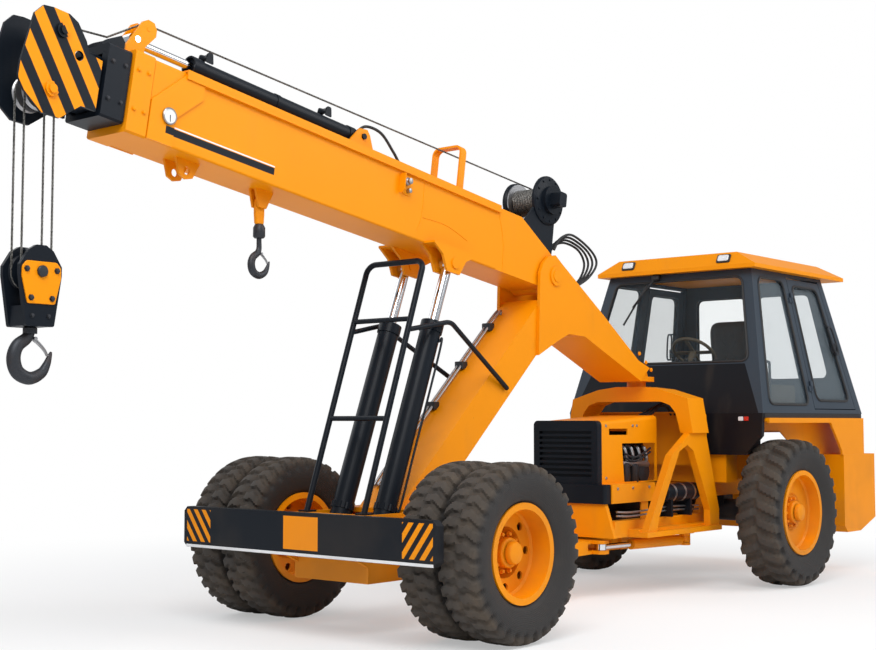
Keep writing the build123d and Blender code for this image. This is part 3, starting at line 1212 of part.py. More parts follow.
def main():
    """Build every node."""
    os.makedirs("parts", exist_ok=True)
    tyres, rims = front_wheels_left()
    casing, wheel = rear_wheel_left()
    frame, panel, glass, door, door_glass = build_cab()
    nodes = {
        "front_tyres_left": tyres,
        "front_tyres_right": mirrored(tyres),
        "front_rims_left": rims,
        "front_rims_right": mirrored(rims),
        "rear_tyre_left": casing,
        "rear_tyre_right": mirrored(casing),
        "rear_rim_left": wheel,
        "rear_rim_right": mirrored(wheel),
        "chassis_frame": chassis_frame() + cab_subframe(),
        "steering_brackets": steering_brackets(),
        "rear_axle": rear_axle(),
        "engine_block": engine_block(),
        "engine_hood": group(engine_hood(), hood_skirt(), rear_enclosure()),
        "radiator_grille": radiator_grille(),
        "pivot_arch": pivot_arch(),
        "a_frames": group(a_frame(), mirrored(a_frame())),
        "air_tank": air_tank(),
        "rear_fenders": rear_fenders(),
        "counterweight": counterweight(),
        "cab_frame": frame,
        "cab_front_panel": cab_front_panel(panel),
        "cab_windows": glass,
        "cab_floor": cab_floor(),
        "cab_roof": cab_roof(),
        "driver_seat": driver_seat(),
        "cab_controls": group(steering_column(), side_console()),
        "cab_door_left": door,
        "cab_door_right": mirrored(door),
        "door_glass_left": door_glass,
        "door_glass_right": mirrored(door_glass),
        "front_chassis": base_frame() + lower_arm(),
        "front_axle": front_axle(),
        "gooseneck_column": gooseneck_column(),
        "gooseneck_head": neck_plates() + upper_lug(),
        "front_bumper": bumper(),
        "guard_frame": guard_frame(),
        "boom_base": on_boom(boom_base()),
        "boom_hoop": on_boom(boom_hoop()),
        "telescope_barrel": on_boom(telescope_cylinder()),
        "telescope_rod": on_boom(telescope_rod()),
        "winch_frame": on_boom(winch_frame()),
        "winch_drum": on_boom(winch_drum()),
        "boom_mid": on_boom(boom_mid()),
        "boom_third": on_boom(boom_third()),
        "boom_head": on_boom(boom_head()),
        "head_sheaves": on_boom(head_sheaves()),
        "hoist_falls": hoist_falls(),
        "hook_block": group(hook_block(), block_sheaves()),
        "main_hook": main_hook(),
        "aux_hook": aux_hook(),
        "lift_barrels": lift_barrels(),
        "lift_rods": lift_rods(),
        "steer_barrel_left": steer_barrel(),
        "steer_barrel_right": mirrored(steer_barrel()),
        "steer_rod_left": steer_rod(),
        "steer_rod_right": mirrored(steer_rod()),
    }
    shift = Pos(centre_shift(nodes["boom_head"]), 0, 0)
    for name, shape in nodes.items():
        export_step(shift * shape, "parts/" + name + ".step")
    print(len(nodes), "nodes")


if __name__ == "__main__":
    main()
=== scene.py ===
"""Looks of a pick-and-carry mobile crane: finishes, tyres with tread, ropes, trim, light and camera."""
import logging
from dataclasses import dataclass
from math import cos, pi, radians, sin
from typing import Any, Callable, Sequence

import bmesh
import bpy
import numpy as np
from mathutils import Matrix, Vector


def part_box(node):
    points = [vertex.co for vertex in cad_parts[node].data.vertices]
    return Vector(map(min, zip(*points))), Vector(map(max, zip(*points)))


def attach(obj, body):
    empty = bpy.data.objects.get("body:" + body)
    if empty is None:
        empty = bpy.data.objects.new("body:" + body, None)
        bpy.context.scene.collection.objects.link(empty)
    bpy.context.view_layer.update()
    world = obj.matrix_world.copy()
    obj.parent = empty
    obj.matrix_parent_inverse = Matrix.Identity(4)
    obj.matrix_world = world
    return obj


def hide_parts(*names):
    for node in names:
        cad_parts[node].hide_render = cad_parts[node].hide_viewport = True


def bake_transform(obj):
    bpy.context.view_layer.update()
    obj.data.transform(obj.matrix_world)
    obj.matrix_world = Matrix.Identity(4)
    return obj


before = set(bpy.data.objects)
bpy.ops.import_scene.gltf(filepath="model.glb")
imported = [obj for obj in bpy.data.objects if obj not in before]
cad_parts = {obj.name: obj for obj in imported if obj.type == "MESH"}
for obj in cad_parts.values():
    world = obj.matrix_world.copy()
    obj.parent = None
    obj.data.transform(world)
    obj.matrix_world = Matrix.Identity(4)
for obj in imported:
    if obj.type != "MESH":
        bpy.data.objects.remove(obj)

LOG = logging.getLogger("crane")
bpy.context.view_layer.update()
Array = np.ndarray
Colour = tuple[float, float, float]

# Places in metres, counted from the front axle as the drawings are
AXLE_X = float(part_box("front_axle")[0][0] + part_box("front_axle")[1][0]) / 2
PIVOT = (-1.8, 2.48)
BOOM_ANGLE = radians(8.5)
FALL_PIN = (4.545, -0.030)
LEAD_PIN = (4.528, 0.305)
AUX_PIN = (2.880, -0.190)
FALL_DROP = 0.965
FALL_Y = 0.045
HEAD_SHEAVE_R = 0.100
LEAD_SHEAVE_R = 0.088
ROPE_R = 0.0065
ROPE_SEAT = 0.016
WINCH = (0.114, 0.575)
DRUM_R = 0.092
ROLLER = (3.918, 0.560)
ROLLER_R = 0.038
TELE_AXIS_V = 0.474
BASE_HALF_W = 0.170
FRONT_WHEEL = (0.0, 0.560)
REAR_WHEEL = (-4.017, 0.610)
HEAD_FACE_Y = 0.1495
BUMPER_FACE_X = 0.704
SENSOR = 36.0
LAMP_AIM = (-0.5, 0.0, 1.6)
CAB_SILL = (1.440, 0.970)
CAB_EAVE = (2.690, 0.720)


def row(points: Array) -> Array:
    """Moves points that are counted from the front axle into the shared frame."""
    return np.asarray(points, float) + np.array([AXLE_X, 0.0, 0.0])


def on_boom(u: Array, y: Array, v: Array) -> Array:
    """Places boom points: u runs along the boom from its pivot, v square to it, turned by its angle.

    Args:
        u, y, v: arrays that broadcast together.
    Returns:
        An array of points in the shared frame.
    """
    u, y, v = np.broadcast_arrays(np.asarray(u, float), np.asarray(y, float), np.asarray(v, float))
    x = PIVOT[0] + u * cos(BOOM_ANGLE) - v * sin(BOOM_ANGLE)
    z = PIVOT[1] + u * sin(BOOM_ANGLE) + v * cos(BOOM_ANGLE)
    return row(np.stack([x, y, z], axis=-1))


# Shapes

@dataclass
class Shape:
    """A mesh as arrays: corner places, the corners of each face in turn, and each face's corner count."""

    verts: Array
    loops: Array
    sizes: Array

    @staticmethod
    def join(shapes: Sequence["Shape"]) -> "Shape":
        """One shape that holds them all."""
        starts = np.cumsum([0] + [len(s.verts) for s in shapes[:-1]])
        return Shape(
            np.concatenate([s.verts for s in shapes]),
            np.concatenate([s.loops + start for s, start in zip(shapes, starts)]),
            np.concatenate([s.sizes for s in shapes]),
        )

    def mirrored(self) -> "Shape":
        """The same shape on the machine's other side."""
        return Shape(self.verts * np.array([1.0, -1.0, 1.0]), self.loops, self.sizes)


def grid(points: Array, wrap_u: bool = False, wrap_v: bool = False, caps: bool = False) -> Shape:
    """Joins a grid of points into four-sided faces.

    Args:
        points: places, shaped (nu, nv, 3).
        wrap_u, wrap_v: whether the last row or column joins the first.
        caps: whether the first and last rows are closed by one flat face each.
    Returns:
        The surface.
    """
    nu, nv = points.shape[:2]
    u = np.arange(nu if wrap_u else nu - 1)[:, None]
    v = np.arange(nv if wrap_v else nv - 1)[None, :]
    a = u * nv + v
    b = ((u + 1) % nu) * nv + v
    c = ((u + 1) % nu) * nv + (v + 1) % nv
    d = u * nv + (v + 1) % nv
    loops = np.stack([a, b, c, d], axis=-1).reshape(-1)
    sizes = np.full(a.size, 4)
    if caps:
        loops = np.concatenate([loops, np.arange(nv)[::-1], (nu - 1) * nv + np.arange(nv)])
        sizes = np.concatenate([sizes, [nv, nv]])
    return Shape(points.reshape(-1, 3), loops, sizes)


def curve(points: Sequence[Sequence[float]], count: int, closed: bool = False) -> Array:
    """A smooth line through its points: between two of them a cubic whose slopes come from their neighbours.

    Args:
        points: the places that it passes.
        count: how many places to return.
        closed: whether it comes back to its start.
    Returns:
        An array of places, shaped (count, dimensions).
    """
    p = np.asarray(points, float)
    p = np.concatenate([p[-1:], p,
                        p[:2]]) if closed else np.concatenate([2 * p[:1] - p[1:2], p, 2 * p[-1:] - p[-2:-1]])
    spans = len(p) - 3
    t = np.linspace(0, spans, count, endpoint=not closed)
    i = np.minimum(t.astype(int), spans - 1)
    f = (t - i)[:, None]
    a, b, c, d = p[i], p[i + 1], p[i + 2], p[i + 3]
    return 0.5 * (2 * b + (c - a) * f + (2 * a - 5 * b + 4 * c - d) * f**2 + (3 * b - a - 3 * c + d) * f**3)


def revolve(profile: Array, centre: Sequence[float], steps: int, axis: str = "Y",
            closed: bool = False) -> Shape:
    """Turns a profile of (radius, along) pairs about an axis: r cos t and r sin t across, h along."""
    t = np.linspace(0, 2 * pi, steps, endpoint=False)[:, None]
    r, h = np.asarray(profile, float).T
    across, up, along = r * np.cos(t), r * np.sin(t), np.broadcast_to(h, (steps, len(h)))
    order = {"Y": (across, along, up), "X": (along, across, up), "Z": (across, up, along)}[axis]
    return grid(np.stack(order, axis=-1) + np.asarray(centre, float), True, closed)


def tube(path: Array, radius: Array | float, sides: int = 12, aside: Sequence[float] = (0.0, 1.0, 0.0),
         closed: bool = False, flat: float = 1.0) -> Shape:
    """Carries an oval along a path, kept square to it with the help of one direction off the path.

    Args:
        path: the places it passes.
        radius: half its thickness in the path's plane, the same all along or by place.
        sides: corners of the oval.
        aside: a direction off the path's plane.
        closed: whether the path comes back to its start.
        flat: its width along aside as a share of its thickness.
    Returns:
        The surface.
    """
    path = np.asarray(path, float)
    along = np.roll(path, -1, 0) - np.roll(path, 1, 0) if closed else np.gradient(path, axis=0)
    along /= np.linalg.norm(along, axis=1, keepdims=True)
    n = np.cross(along, np.asarray(aside, float))
    n /= np.linalg.norm(n, axis=1, keepdims=True)
    b = np.cross(along, n)
    t = np.linspace(0, 2 * pi, sides, endpoint=False)
    r = np.broadcast_to(np.asarray(radius, float), (len(path),))[:, None, None]
    ring = path[:, None] + r * (n[:, None] * np.cos(t)[None, :,
                                                       None] + flat * b[:, None] * np.sin(t)[None, :, None])
    return grid(ring, closed, True, not closed)


def basis(normal: Sequence[float]) -> tuple[Array, Array, Array]:
    """Two directions square to a normal, and the normal itself."""
    n = np.asarray(normal, float) / np.linalg.norm(normal)
    side = np.cross(n, (0.0, 0.0, 1.0)) if abs(n[2]) < 0.9 else np.cross(n, (0.0, 1.0, 0.0))
    side /= np.linalg.norm(side)
    return side, np.cross(n, side), n


def bolts(centres: Array, normal: Sequence[float], radius: float, height: float) -> Shape:
    """Hexagon heads on washers, one at each centre, standing along the normal.

    Each is a stack of six-sided rings: the washer's foot and top, and the head's foot, shoulder and crown.
    """
    side, up, n = basis(normal)
    t = np.linspace(0, 2 * pi, 6, endpoint=False)
    radii = np.array([1.35, 1.35, 1.0, 1.0, 0.8])[:, None] * radius
    lift = np.array([-0.1, 0.22, 0.22, 0.9, 1.0])[:, None] * height
    ring = radii[..., None] * (np.cos(t)[None, :,
                                         None] * side + np.sin(t)[None, :, None] * up) + lift[..., None] * n
    one = grid(ring, False, True, True)
    centres = np.atleast_2d(np.asarray(centres, float))
    count, size = len(centres), len(one.verts)
    verts = (centres[:, None] + one.verts[None]).reshape(-1, 3)
    loops = (one.loops[None] + size * np.arange(count)[:, None]).reshape(-1)
    return Shape(verts, loops, np.tile(one.sizes, count))


def ring_of(centre: Sequence[float], radius: float, count: int, turn: float = 0.0) -> Array:
    """Places on a circle in the XZ plane."""
    t = np.linspace(0, 2 * pi, count, endpoint=False) + turn
    return np.asarray(centre, float) + np.stack([radius * np.cos(t), 0 * t, radius * np.sin(t)], axis=-1)


def slab(outline: Array, normal: Sequence[float], thickness: float, edge: float = 0.0) -> Shape:
    """A flat plate on an outline of 3-D points, its outer rim drawn in by edge towards the middle."""
    outline = np.asarray(outline, float)
    n = np.asarray(normal, float) / np.linalg.norm(normal)
    inward = outline.mean(0) - outline
    inward /= np.linalg.norm(inward, axis=1, keepdims=True)
    rows = np.stack([outline, outline + n * (thickness - edge),
                     outline + n * thickness + inward * edge * 1.4])
    return grid(rows, False, True, True)


def rounded(corners: Sequence[Sequence[float]], radius: float, steps: int = 7) -> Array:
    """A closed outline with round corners: at each corner a parabola arc between two points on its sides."""
    c = np.asarray(corners, float)
    to_prev = np.roll(c, 1, 0) - c
    to_next = np.roll(c, -1, 0) - c
    start = c + radius * to_prev / np.linalg.norm(to_prev, axis=1, keepdims=True)
    end = c + radius * to_next / np.linalg.norm(to_next, axis=1, keepdims=True)
    t = np.linspace(0, 1, steps)[None, :, None]
    arc = (1 - t) ** 2 * start[:, None] + 2 * t * (1 - t) * c[:, None] + t**2 * end[:, None]
    return arc.reshape(-1, c.shape[1])


def brick(low: Sequence[float], high: Sequence[float], edge: float = 0.004) -> Shape:
    """A block between two corners, its edges drawn in: stacked rounded rectangles from floor to lid."""
    (x0, y0, z0), (x1, y1, z1) = low, high
    def level(z: float, cut: float) -> Array:
        """One rounded rectangle of the stack."""
        flat = rounded([(x0 + cut, y0 + cut), (x1 - cut, y0 + cut), (x1 - cut, y1 - cut),
                        (x0 + cut, y1 - cut)], edge * 2, 4)
        return np.column_stack([flat, np.full(len(flat), z)])
    rows = np.stack([level(z0, edge), level(z0 + edge, 0), level(z1 - edge, 0), level(z1, edge)])
    return grid(rows, False, True, True)


# Shader values

Value = Any


class Wire:
    """A shader socket that takes part in Python arithmetic; each operator adds a Math node."""

    def __init__(self, graph: "Graph", socket: bpy.types.NodeSocket) -> None:
        self.graph = graph
        self.socket = socket

    def _math(self, operation: str, first: Value, second: Value) -> "Wire":
        """One Math node on two values."""
        return self.graph.node("ShaderNodeMath", {"operation": operation}, {0: first, 1: second})

    def __add__(self, other: Value) -> "Wire":
        """Sum."""
        return self._math("ADD", self, other)

    __radd__ = __add__

    def __sub__(self, other: Value) -> "Wire":
        """Difference."""
        return self._math("SUBTRACT", self, other)

    def __rsub__(self, other: Value) -> "Wire":
        """Difference the other way round."""
        return self._math("SUBTRACT", other, self)

    def __mul__(self, other: Value) -> "Wire":
        """Product."""
        return self._math("MULTIPLY", self, other)

    __rmul__ = __mul__

    def __truediv__(self, other: Value) -> "Wire":
        """Quotient."""
        return self._math("DIVIDE", self, other)

    def __rtruediv__(self, other: Value) -> "Wire":
        """Quotient the other way round."""
        return self._math("DIVIDE", other, self)

    def __pow__(self, other: Value) -> "Wire":
        """Power."""
        return self._math("POWER", self, other)

    def __gt__(self, other: Value) -> "Wire":
        """One where this is greater."""
        return self._math("GREATER_THAN", self, other)

    def __lt__(self, other: Value) -> "Wire":
        """One where this is less."""
        return self._math("LESS_THAN", self, other)

    def size(self) -> "Wire":
        """Its distance from zero."""
        return self._math("ABSOLUTE", self, 0.0)

    def part(self) -> "Wire":
        """What is left after its whole number."""
        return self._math("FRACT", self, 0.0)

    def root(self) -> "Wire":
        """Square root."""
        return self._math("SQRT", self, 0.0)

    def ease(self, low: float, high: float) -> "Wire":
        """Goes softly from 0 at low to 1 at high."""
        rising = high > low
        inputs = {0: self, 1: min(low, high), 2: max(low, high), 3: 0.0 if rising else 1.0,
                  4: 1.0 if rising else 0.0}
        return self.graph.node("ShaderNodeMapRange", {"interpolation_type": "SMOOTHSTEP"}, inputs)

    def within(self, low: float, high: float, soft: float = 0.0008) -> "Wire":
        """One between two values, with a soft edge."""
        return self.ease(low - soft, low + soft) * self.ease(high + soft, high - soft)


class Graph:
    """One material's nodes, with the object's own coordinates at hand."""

    def __init__(self, name: str) -> None:
        self.material = bpy.data.materials.new(name)
        self.material.use_nodes = True
        self.tree = self.material.node_tree
        self.tree.nodes.clear()
        self.place = self.node("ShaderNodeTexCoord", output="Object")
        self.x, self.y, self.z = (self.node("ShaderNodeSeparateXYZ", inputs={0: self.place},
                                            output=i) for i in range(3))

    def node(self, kind: str, settings: dict[str, Any] | None = None, inputs: dict[Any, Value] | None = None,
             output: int | str = 0) -> Wire:
        """Adds any node.

        Args:
            kind: its type.
            settings: its own properties, set first.
            inputs: values or links by socket.
            output: which socket to hand back.
        Returns:
            That output as a Wire.
        """
        made = self.tree.nodes.new(kind)
        for key, value in (settings or {}).items():
            setattr(made, key, value)
        for key, value in (inputs or {}).items():
            if isinstance(value, Wire):
                self.tree.links.new(value.socket, made.inputs[key])
            elif isinstance(value, tuple) and len(value) == 3 and made.inputs[key].type == "RGBA":
                made.inputs[key].default_value = (*value, 1.0)
            else:
                made.inputs[key].default_value = value
        return Wire(self, made.outputs[output])

    def noise(self, scale: float, detail: float = 3.0,
              stretch: tuple[float, float, float] = (1, 1, 1)) -> Wire:
        """Cloudy noise on the object's coordinates, from 0 to 1."""
        spot = self.place
        if stretch != (1, 1, 1):
            spot = self.node("ShaderNodeMapping", inputs={"Vector": self.place, "Scale": stretch})
        return self.node("ShaderNodeTexNoise", inputs={"Vector": spot, "Scale": scale, "Detail": detail})

    def mix(self, amount: Value, first: Value, second: Value) -> Wire:
        """Blends two colours."""
        return self.node("ShaderNodeMix", {"data_type": "RGBA"}, {0: amount, 6: first, 7: second}, 2)

    def bump(self, height: Wire, strength: float, depth: float) -> Wire:
        """Turns a height into a normal."""
        return self.node("ShaderNodeBump", inputs={"Strength": strength, "Distance": depth, "Height": height})

    def boom(self) -> tuple[Wire, Wire]:
        """The boom's own coordinates, u along it and v square to it."""
        x = self.x - (AXLE_X + PIVOT[0])
        z = self.z - PIVOT[1]
        return x * cos(BOOM_ANGLE) + z * sin(BOOM_ANGLE), z * cos(BOOM_ANGLE) - x * sin(BOOM_ANGLE)

    def finish(self, **inputs: Value) -> bpy.types.Material:
        """Ends the material with a Principled shader."""
        named = {key.replace("_", " "): value for key, value in inputs.items()}
        shader = self.node("ShaderNodeBsdfPrincipled", inputs=named)
        self.node_output(shader)
        return self.material

    def node_output(self, shader: Wire) -> None:
        """Links a shader to the material's output."""
        out = self.tree.nodes.new("ShaderNodeOutputMaterial")
        self.tree.links.new(shader.socket, out.inputs["Surface"])


# Finishes

class Hue:
    """The machine's colours, as linear values."""

    YELLOW: Colour = (0.87, 0.285, 0.0005)
    ORANGE: Colour = (0.86, 0.27, 0.004)
    NAVY: Colour = (0.006, 0.009, 0.014)
    SLATE: Colour = (0.040, 0.053, 0.070)
    SOOT: Colour = (0.005, 0.006, 0.009)
    RUBBER: Colour = (0.020, 0.018, 0.017)
    DUST: Colour = (0.16, 0.115, 0.075)
    WHITE: Colour = (0.80, 0.81, 0.82)
    STEEL: Colour = (0.42, 0.42, 0.43)
    RED: Colour = (0.55, 0.02, 0.01)


Decal = tuple[Colour, Callable[[Graph], Wire]]


@dataclass(frozen=True)
class Paint:
    """Sprayed paint with orange peel, soft grime low down, and small chips; decals are painted on top."""

    name: str
    colour: Colour
    roughness: float = 0.42
    grime: float = 0.30
    chips: float = 0.4
    coat: float = 0.03
    decals: tuple[Decal, ...] = ()

    def build(self) -> bpy.types.Material:
        """Makes the material."""
        g = Graph(self.name)
        cloud = g.noise(1.7, 4.0)
        streak = g.noise(5.0, 4.0, (1.0, 1.0, 0.22))
        speck = g.noise(46.0, 6.0)
        shade = g.mix(cloud.ease(0.35, 0.75) * 0.16, self.colour, tuple(0.78 * c for c in self.colour))
        for colour, mask in self.decals:
            shade = g.mix(mask(g), shade, colour)
        low = g.z.ease(1.5, 0.25)
        dirt = (low * cloud.ease(0.38, 0.68) * 0.75 + streak.ease(0.56, 0.8) * 0.3) * self.grime
        shade = g.mix(dirt, shade, Hue.DUST)
        chip = speck.ease(0.735, 0.76) * cloud.ease(0.45, 0.6) * self.chips
        shade = g.mix(chip, shade, (0.07, 0.045, 0.03))
        peel = g.noise(170.0, 2.0)
        rough = dirt * 0.45 + chip * 0.3 + cloud * 0.1 + (self.roughness - 0.05)
        normal = g.bump(peel * 0.25 - chip, 0.35, 0.0012)
        return g.finish(Base_Color=shade, Roughness=rough, Normal=normal, Coat_Weight=self.coat,
                        Coat_Roughness=0.16,
                        Specular_IOR_Level=0.14)


@dataclass(frozen=True)
class Rubber:
    """Dusty tyre rubber with moulded rings on the sidewall."""

    name: str
    wheel: tuple[float, float]
    radius: float

    def build(self) -> bpy.types.Material:
        """Makes the material: brown dust in the grooves and on the tread, rings by the wheel's radius."""
        g = Graph(self.name)
        dx = g.x - (AXLE_X + self.wheel[0])
        dz = g.z - self.wheel[1]
        r = (dx * dx + dz * dz).root()
        wall = r.ease(self.radius * 0.93, self.radius * 0.88)
        ring = (r * 95.0).part().within(0.3, 0.7,
                                        0.12) * wall * r.ease(self.radius * 0.60, self.radius * 0.64)
        cloud = g.noise(6.0, 5.0)
        grain = g.noise(240.0, 3.0)
        tread = r.ease(self.radius * 0.86, self.radius * 0.95)
        dust = tread * (cloud.ease(0.25, 0.75) * 0.55 + 0.2) + cloud.ease(0.5, 0.85) * 0.16
        worn = r.ease(self.radius * 0.982, self.radius * 0.996) * 0.35
        shade = g.mix(dust, Hue.RUBBER, (0.092, 0.070, 0.050))
        shade = g.mix(worn, shade, (0.060, 0.052, 0.046))
        normal = g.bump(ring * 0.6 + grain * 0.12 + cloud * 0.1, 0.6, 0.004)
        return g.finish(Base_Color=shade, Roughness=0.72 + dust * 0.22, Normal=normal)


@dataclass(frozen=True)
class Metal:
    """Bare or plated metal: chrome, machined or forged, by its roughness and grain."""

    name: str
    colour: Colour
    roughness: float
    grain: float = 60.0
    metallic: float = 1.0
    rust: float = 0.0

    def build(self) -> bpy.types.Material:
        """Makes the material."""
        g = Graph(self.name)
        brush = g.noise(self.grain, 4.0, (1.0, 1.0, 6.0))
        cloud = g.noise(9.0, 5.0)
        stain = cloud.ease(0.5, 0.72) * self.rust
        shade = g.mix(brush * 0.35, self.colour, tuple(0.55 * c for c in self.colour))
        shade = g.mix(stain, shade, (0.12, 0.055, 0.025))
        rough = brush * 0.14 + stain * 0.4 + self.roughness
        return g.finish(Base_Color=shade, Roughness=rough, Metallic=self.metallic * (1.0 - stain),
                        Normal=g.bump(brush, 0.12, 0.0008))


@dataclass(frozen=True)
class Plain:
    """Moulded plastic, vinyl or rubber trim with a fine leather grain."""

    name: str
    colour: Colour
    roughness: float = 0.55
    grain: float = 130.0
    depth: float = 0.0015
    glow: float = 0.0

    def build(self) -> bpy.types.Material:
        """Makes the material."""
        g = Graph(self.name)
        cell = g.node("ShaderNodeTexVoronoi", {"feature": "DISTANCE_TO_EDGE"},
                      {"Vector": g.place, "Scale": self.grain})
        cloud = g.noise(7.0, 4.0)
        shade = g.mix(cloud.ease(0.4, 0.8) * 0.3, self.colour, tuple(0.6 * c + 0.01 for c in self.colour))
        return g.finish(Base_Color=shade, Roughness=cloud * 0.15 + (self.roughness - 0.07),
                        Normal=g.bump(cell.ease(0.0, 0.25), 0.35, self.depth),
                        Emission_Color=(*self.colour, 1.0), Emission_Strength=self.glow)


@dataclass(frozen=True)
class Glass:
    """Thin window glass: mostly clear, with a mirror-like share and a faint dust film."""

    name: str
    tint: Colour = (0.985, 0.992, 0.992)

    def build(self) -> bpy.types.Material:
        """Makes the material: a clear shader mixed with a glossy one by the viewing slope and the dust."""
        g = Graph(self.name)
        dust = g.noise(4.0, 5.0).ease(0.45, 0.85) * 0.10
        slope = g.node("ShaderNodeFresnel", inputs={"IOR": 1.45})
        clear = g.node("ShaderNodeBsdfTransparent", inputs={"Color": (*self.tint, 1.0)})
        gloss = g.node("ShaderNodeBsdfPrincipled", inputs={
            "Base Color": (0.30, 0.36, 0.40, 1.0), "Roughness": 0.04, "Metallic": 0.0,
            "Specular IOR Level": 0.9})
        both = g.node("ShaderNodeMixShader", inputs={0: slope * 0.32 + dust * 0.16 + 0.01, 1: clear,
                                                     2: gloss})
        g.node_output(both)
        return g.material


@dataclass(frozen=True)
class Wound:
    """Steel rope: bright wear and dark grease in fine clouds that lie along the strands."""

    name: str = "wire_rope"

    def build(self) -> bpy.types.Material:
        """Makes the material."""
        g = Graph(self.name)
        lay = g.noise(260.0, 2.0, (1.0, 1.0, 0.4))
        shade = g.mix(lay.ease(0.35, 0.65), (0.035, 0.033, 0.03), (0.30, 0.29, 0.27))
        return g.finish(Base_Color=shade, Roughness=0.42 + lay * 0.2, Metallic=0.8,
                        Normal=g.bump(lay, 0.7, 0.002))


# Pieces

class Shop:
    """Turns shapes into finished pieces and keeps each finish once."""

    def __init__(self) -> None:
        self.made: dict[str, bpy.types.Material] = {}
        self.count = 0

    def stuff(self, finish: Any) -> bpy.types.Material:
        """The material of a finish, built on first use."""
        if finish.name not in self.made:
            self.made[finish.name] = finish.build()
        return self.made[finish.name]

    def piece(self, name: str, shape: Shape, finish: Any, body: str, smooth: float = 35.0,
              swap: Sequence[str] = (), ride: bool = True) -> bpy.types.Object:
        """Puts a shape in the scene.

        Args:
            name: the piece's name.
            shape: its mesh arrays.
            finish: the finish it wears.
            body: the CAD body it rides on.
            smooth: edges flatter than this many degrees are shaded smooth.
            swap: CAD nodes it stands for.
            ride: False leaves it on no body.
        Returns:
            The object.
        """
        mesh = bpy.data.meshes.new(name)
        mesh.vertices.add(len(shape.verts))
        mesh.vertices.foreach_set("co", shape.verts.astype(np.float32).ravel())
        mesh.loops.add(len(shape.loops))
        mesh.loops.foreach_set("vertex_index", shape.loops.astype(np.int32))
        mesh.polygons.add(len(shape.sizes))
        mesh.polygons.foreach_set("loop_start", (np.cumsum(shape.sizes) - shape.sizes).astype(np.int32))
        mesh.update(calc_edges=True)
        work = bmesh.new()
        work.from_mesh(mesh)
        bmesh.ops.remove_doubles(work, verts=work.verts, dist=1e-6)
        bmesh.ops.recalc_face_normals(work, faces=work.faces)
        work.to_mesh(mesh)
        work.free()
        mesh.shade_smooth()
        mesh.set_sharp_from_angle(angle=radians(smooth))
        mesh.materials.append(self.stuff(finish))
        made = bpy.data.objects.new(name, mesh)
        bpy.context.scene.collection.objects.link(made)
        if swap:
            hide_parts(*swap)
        if ride:
            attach(made, body)
        self.count += 1
        LOG.info("%s: %d faces on %s", name, len(mesh.polygons), body)
        return made

    def dress(self, finish: Any, *nodes: str) -> None:
        """Gives CAD nodes a finish."""
        for name in nodes:
            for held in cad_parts[name].material_slots:
                held.material = self.stuff(finish)
            LOG.info("%s wears %s", name, finish.name)


def stripes(across: Wire, pitch: float, share: float = 0.5, phase: float = 0.0) -> Wire:
    """Repeating bars: one where the fraction of across over pitch, moved by phase, is below share."""
    turn = (across / pitch + (50.0 + phase)).part()
    return turn.within(0.02, share, 0.02)


def head_mark(g: Graph) -> Wire:
    """Dark slanted bars on the head's outer cheeks; the rest of the cheeks stays yellow."""
    u, v = g.boom()
    return stripes(u * 0.795 - v * 0.607, 0.133, 0.50, -0.615) * (g.y.size() > HEAD_FACE_Y)


def head_plain(g: Graph) -> Wire:
    """The head's dark box, sides and webs: everything inside the cheeks' outer faces."""
    return 1.0 - (g.y.size() > HEAD_FACE_Y)


def side_bar(g: Graph) -> Wire:
    """The dark bar along the boom's side."""
    u, v = g.boom()
    return u.within(2.94, 3.80) * (v + 0.020).within(-0.022, 0.022) * (g.y.size() > BASE_HALF_W - 0.001)


def side_line(g: Graph) -> Wire:
    """The white line over the dark bar."""
    u, v = g.boom()
    return u.within(2.94, 3.74) * (v + 0.020).within(0.026, 0.034) * (g.y.size() > BASE_HALF_W - 0.001)


def bumper_patch(g: Graph) -> Wire:
    """Striped patches at the bumper's ends: bars rise outwards on both sides."""
    side = g.y.size()
    patch = side.within(0.86, 1.10) * g.z.within(0.56, 0.775) * (g.x > AXLE_X + BUMPER_FACE_X)
    return patch * stripes(side - g.z * 0.75, 0.082, 0.52)


def bumper_centre(g: Graph) -> Wire:
    """The plain orange square in the bumper's middle."""
    return g.y.size().within(-1.0, 0.155) * g.z.within(0.56, 0.77) * (g.x > AXLE_X + BUMPER_FACE_X)


YELLOW = Paint("yellow_paint", Hue.YELLOW)
BOOM_PAINT = Paint("boom_paint", Hue.YELLOW, grime=0.18,
                   decals=((Hue.NAVY, side_bar), (Hue.WHITE, side_line)))
HEAD_PAINT = Paint("head_paint", Hue.YELLOW, grime=0.15,
                   decals=((Hue.NAVY, head_mark), (Hue.NAVY, head_plain)))
NAVY = Paint("navy_paint", Hue.NAVY, roughness=0.40, grime=0.08, chips=0.3)
BUMPER = Paint("bumper_paint", Hue.NAVY, roughness=0.34, grime=0.15,
               decals=((Hue.YELLOW, bumper_patch), (Hue.ORANGE, bumper_centre)))
SLATE = Paint("slate_paint", Hue.SLATE, roughness=0.38, grime=0.12, chips=0.2)
SOOT = Paint("soot_paint", Hue.SOOT, roughness=0.45, grime=0.35, chips=0.3, coat=0.1)
CHROME = Metal("chrome", (0.80, 0.81, 0.83), 0.06, 90.0)
STEEL = Metal("worn_steel", Hue.STEEL, 0.32, 60.0, rust=0.25)
FORGED = Metal("forged_steel", (0.045, 0.048, 0.055), 0.42, 30.0, 0.7, 0.15)
GLASS = Glass("window_glass")
TRIM = Plain("black_trim", (0.012, 0.012, 0.013))
CLOTH = Plain("seat_vinyl", (0.030, 0.028, 0.027), 0.6, 90.0)
CONSOLE = Plain("console_plastic", (0.075, 0.055, 0.030), 0.6)
LENS = Plain("lamp_lens", (0.75, 0.77, 0.80), 0.15, 60.0, 0.004)
WHITE = Paint("white_strip", Hue.WHITE, grime=0.2)
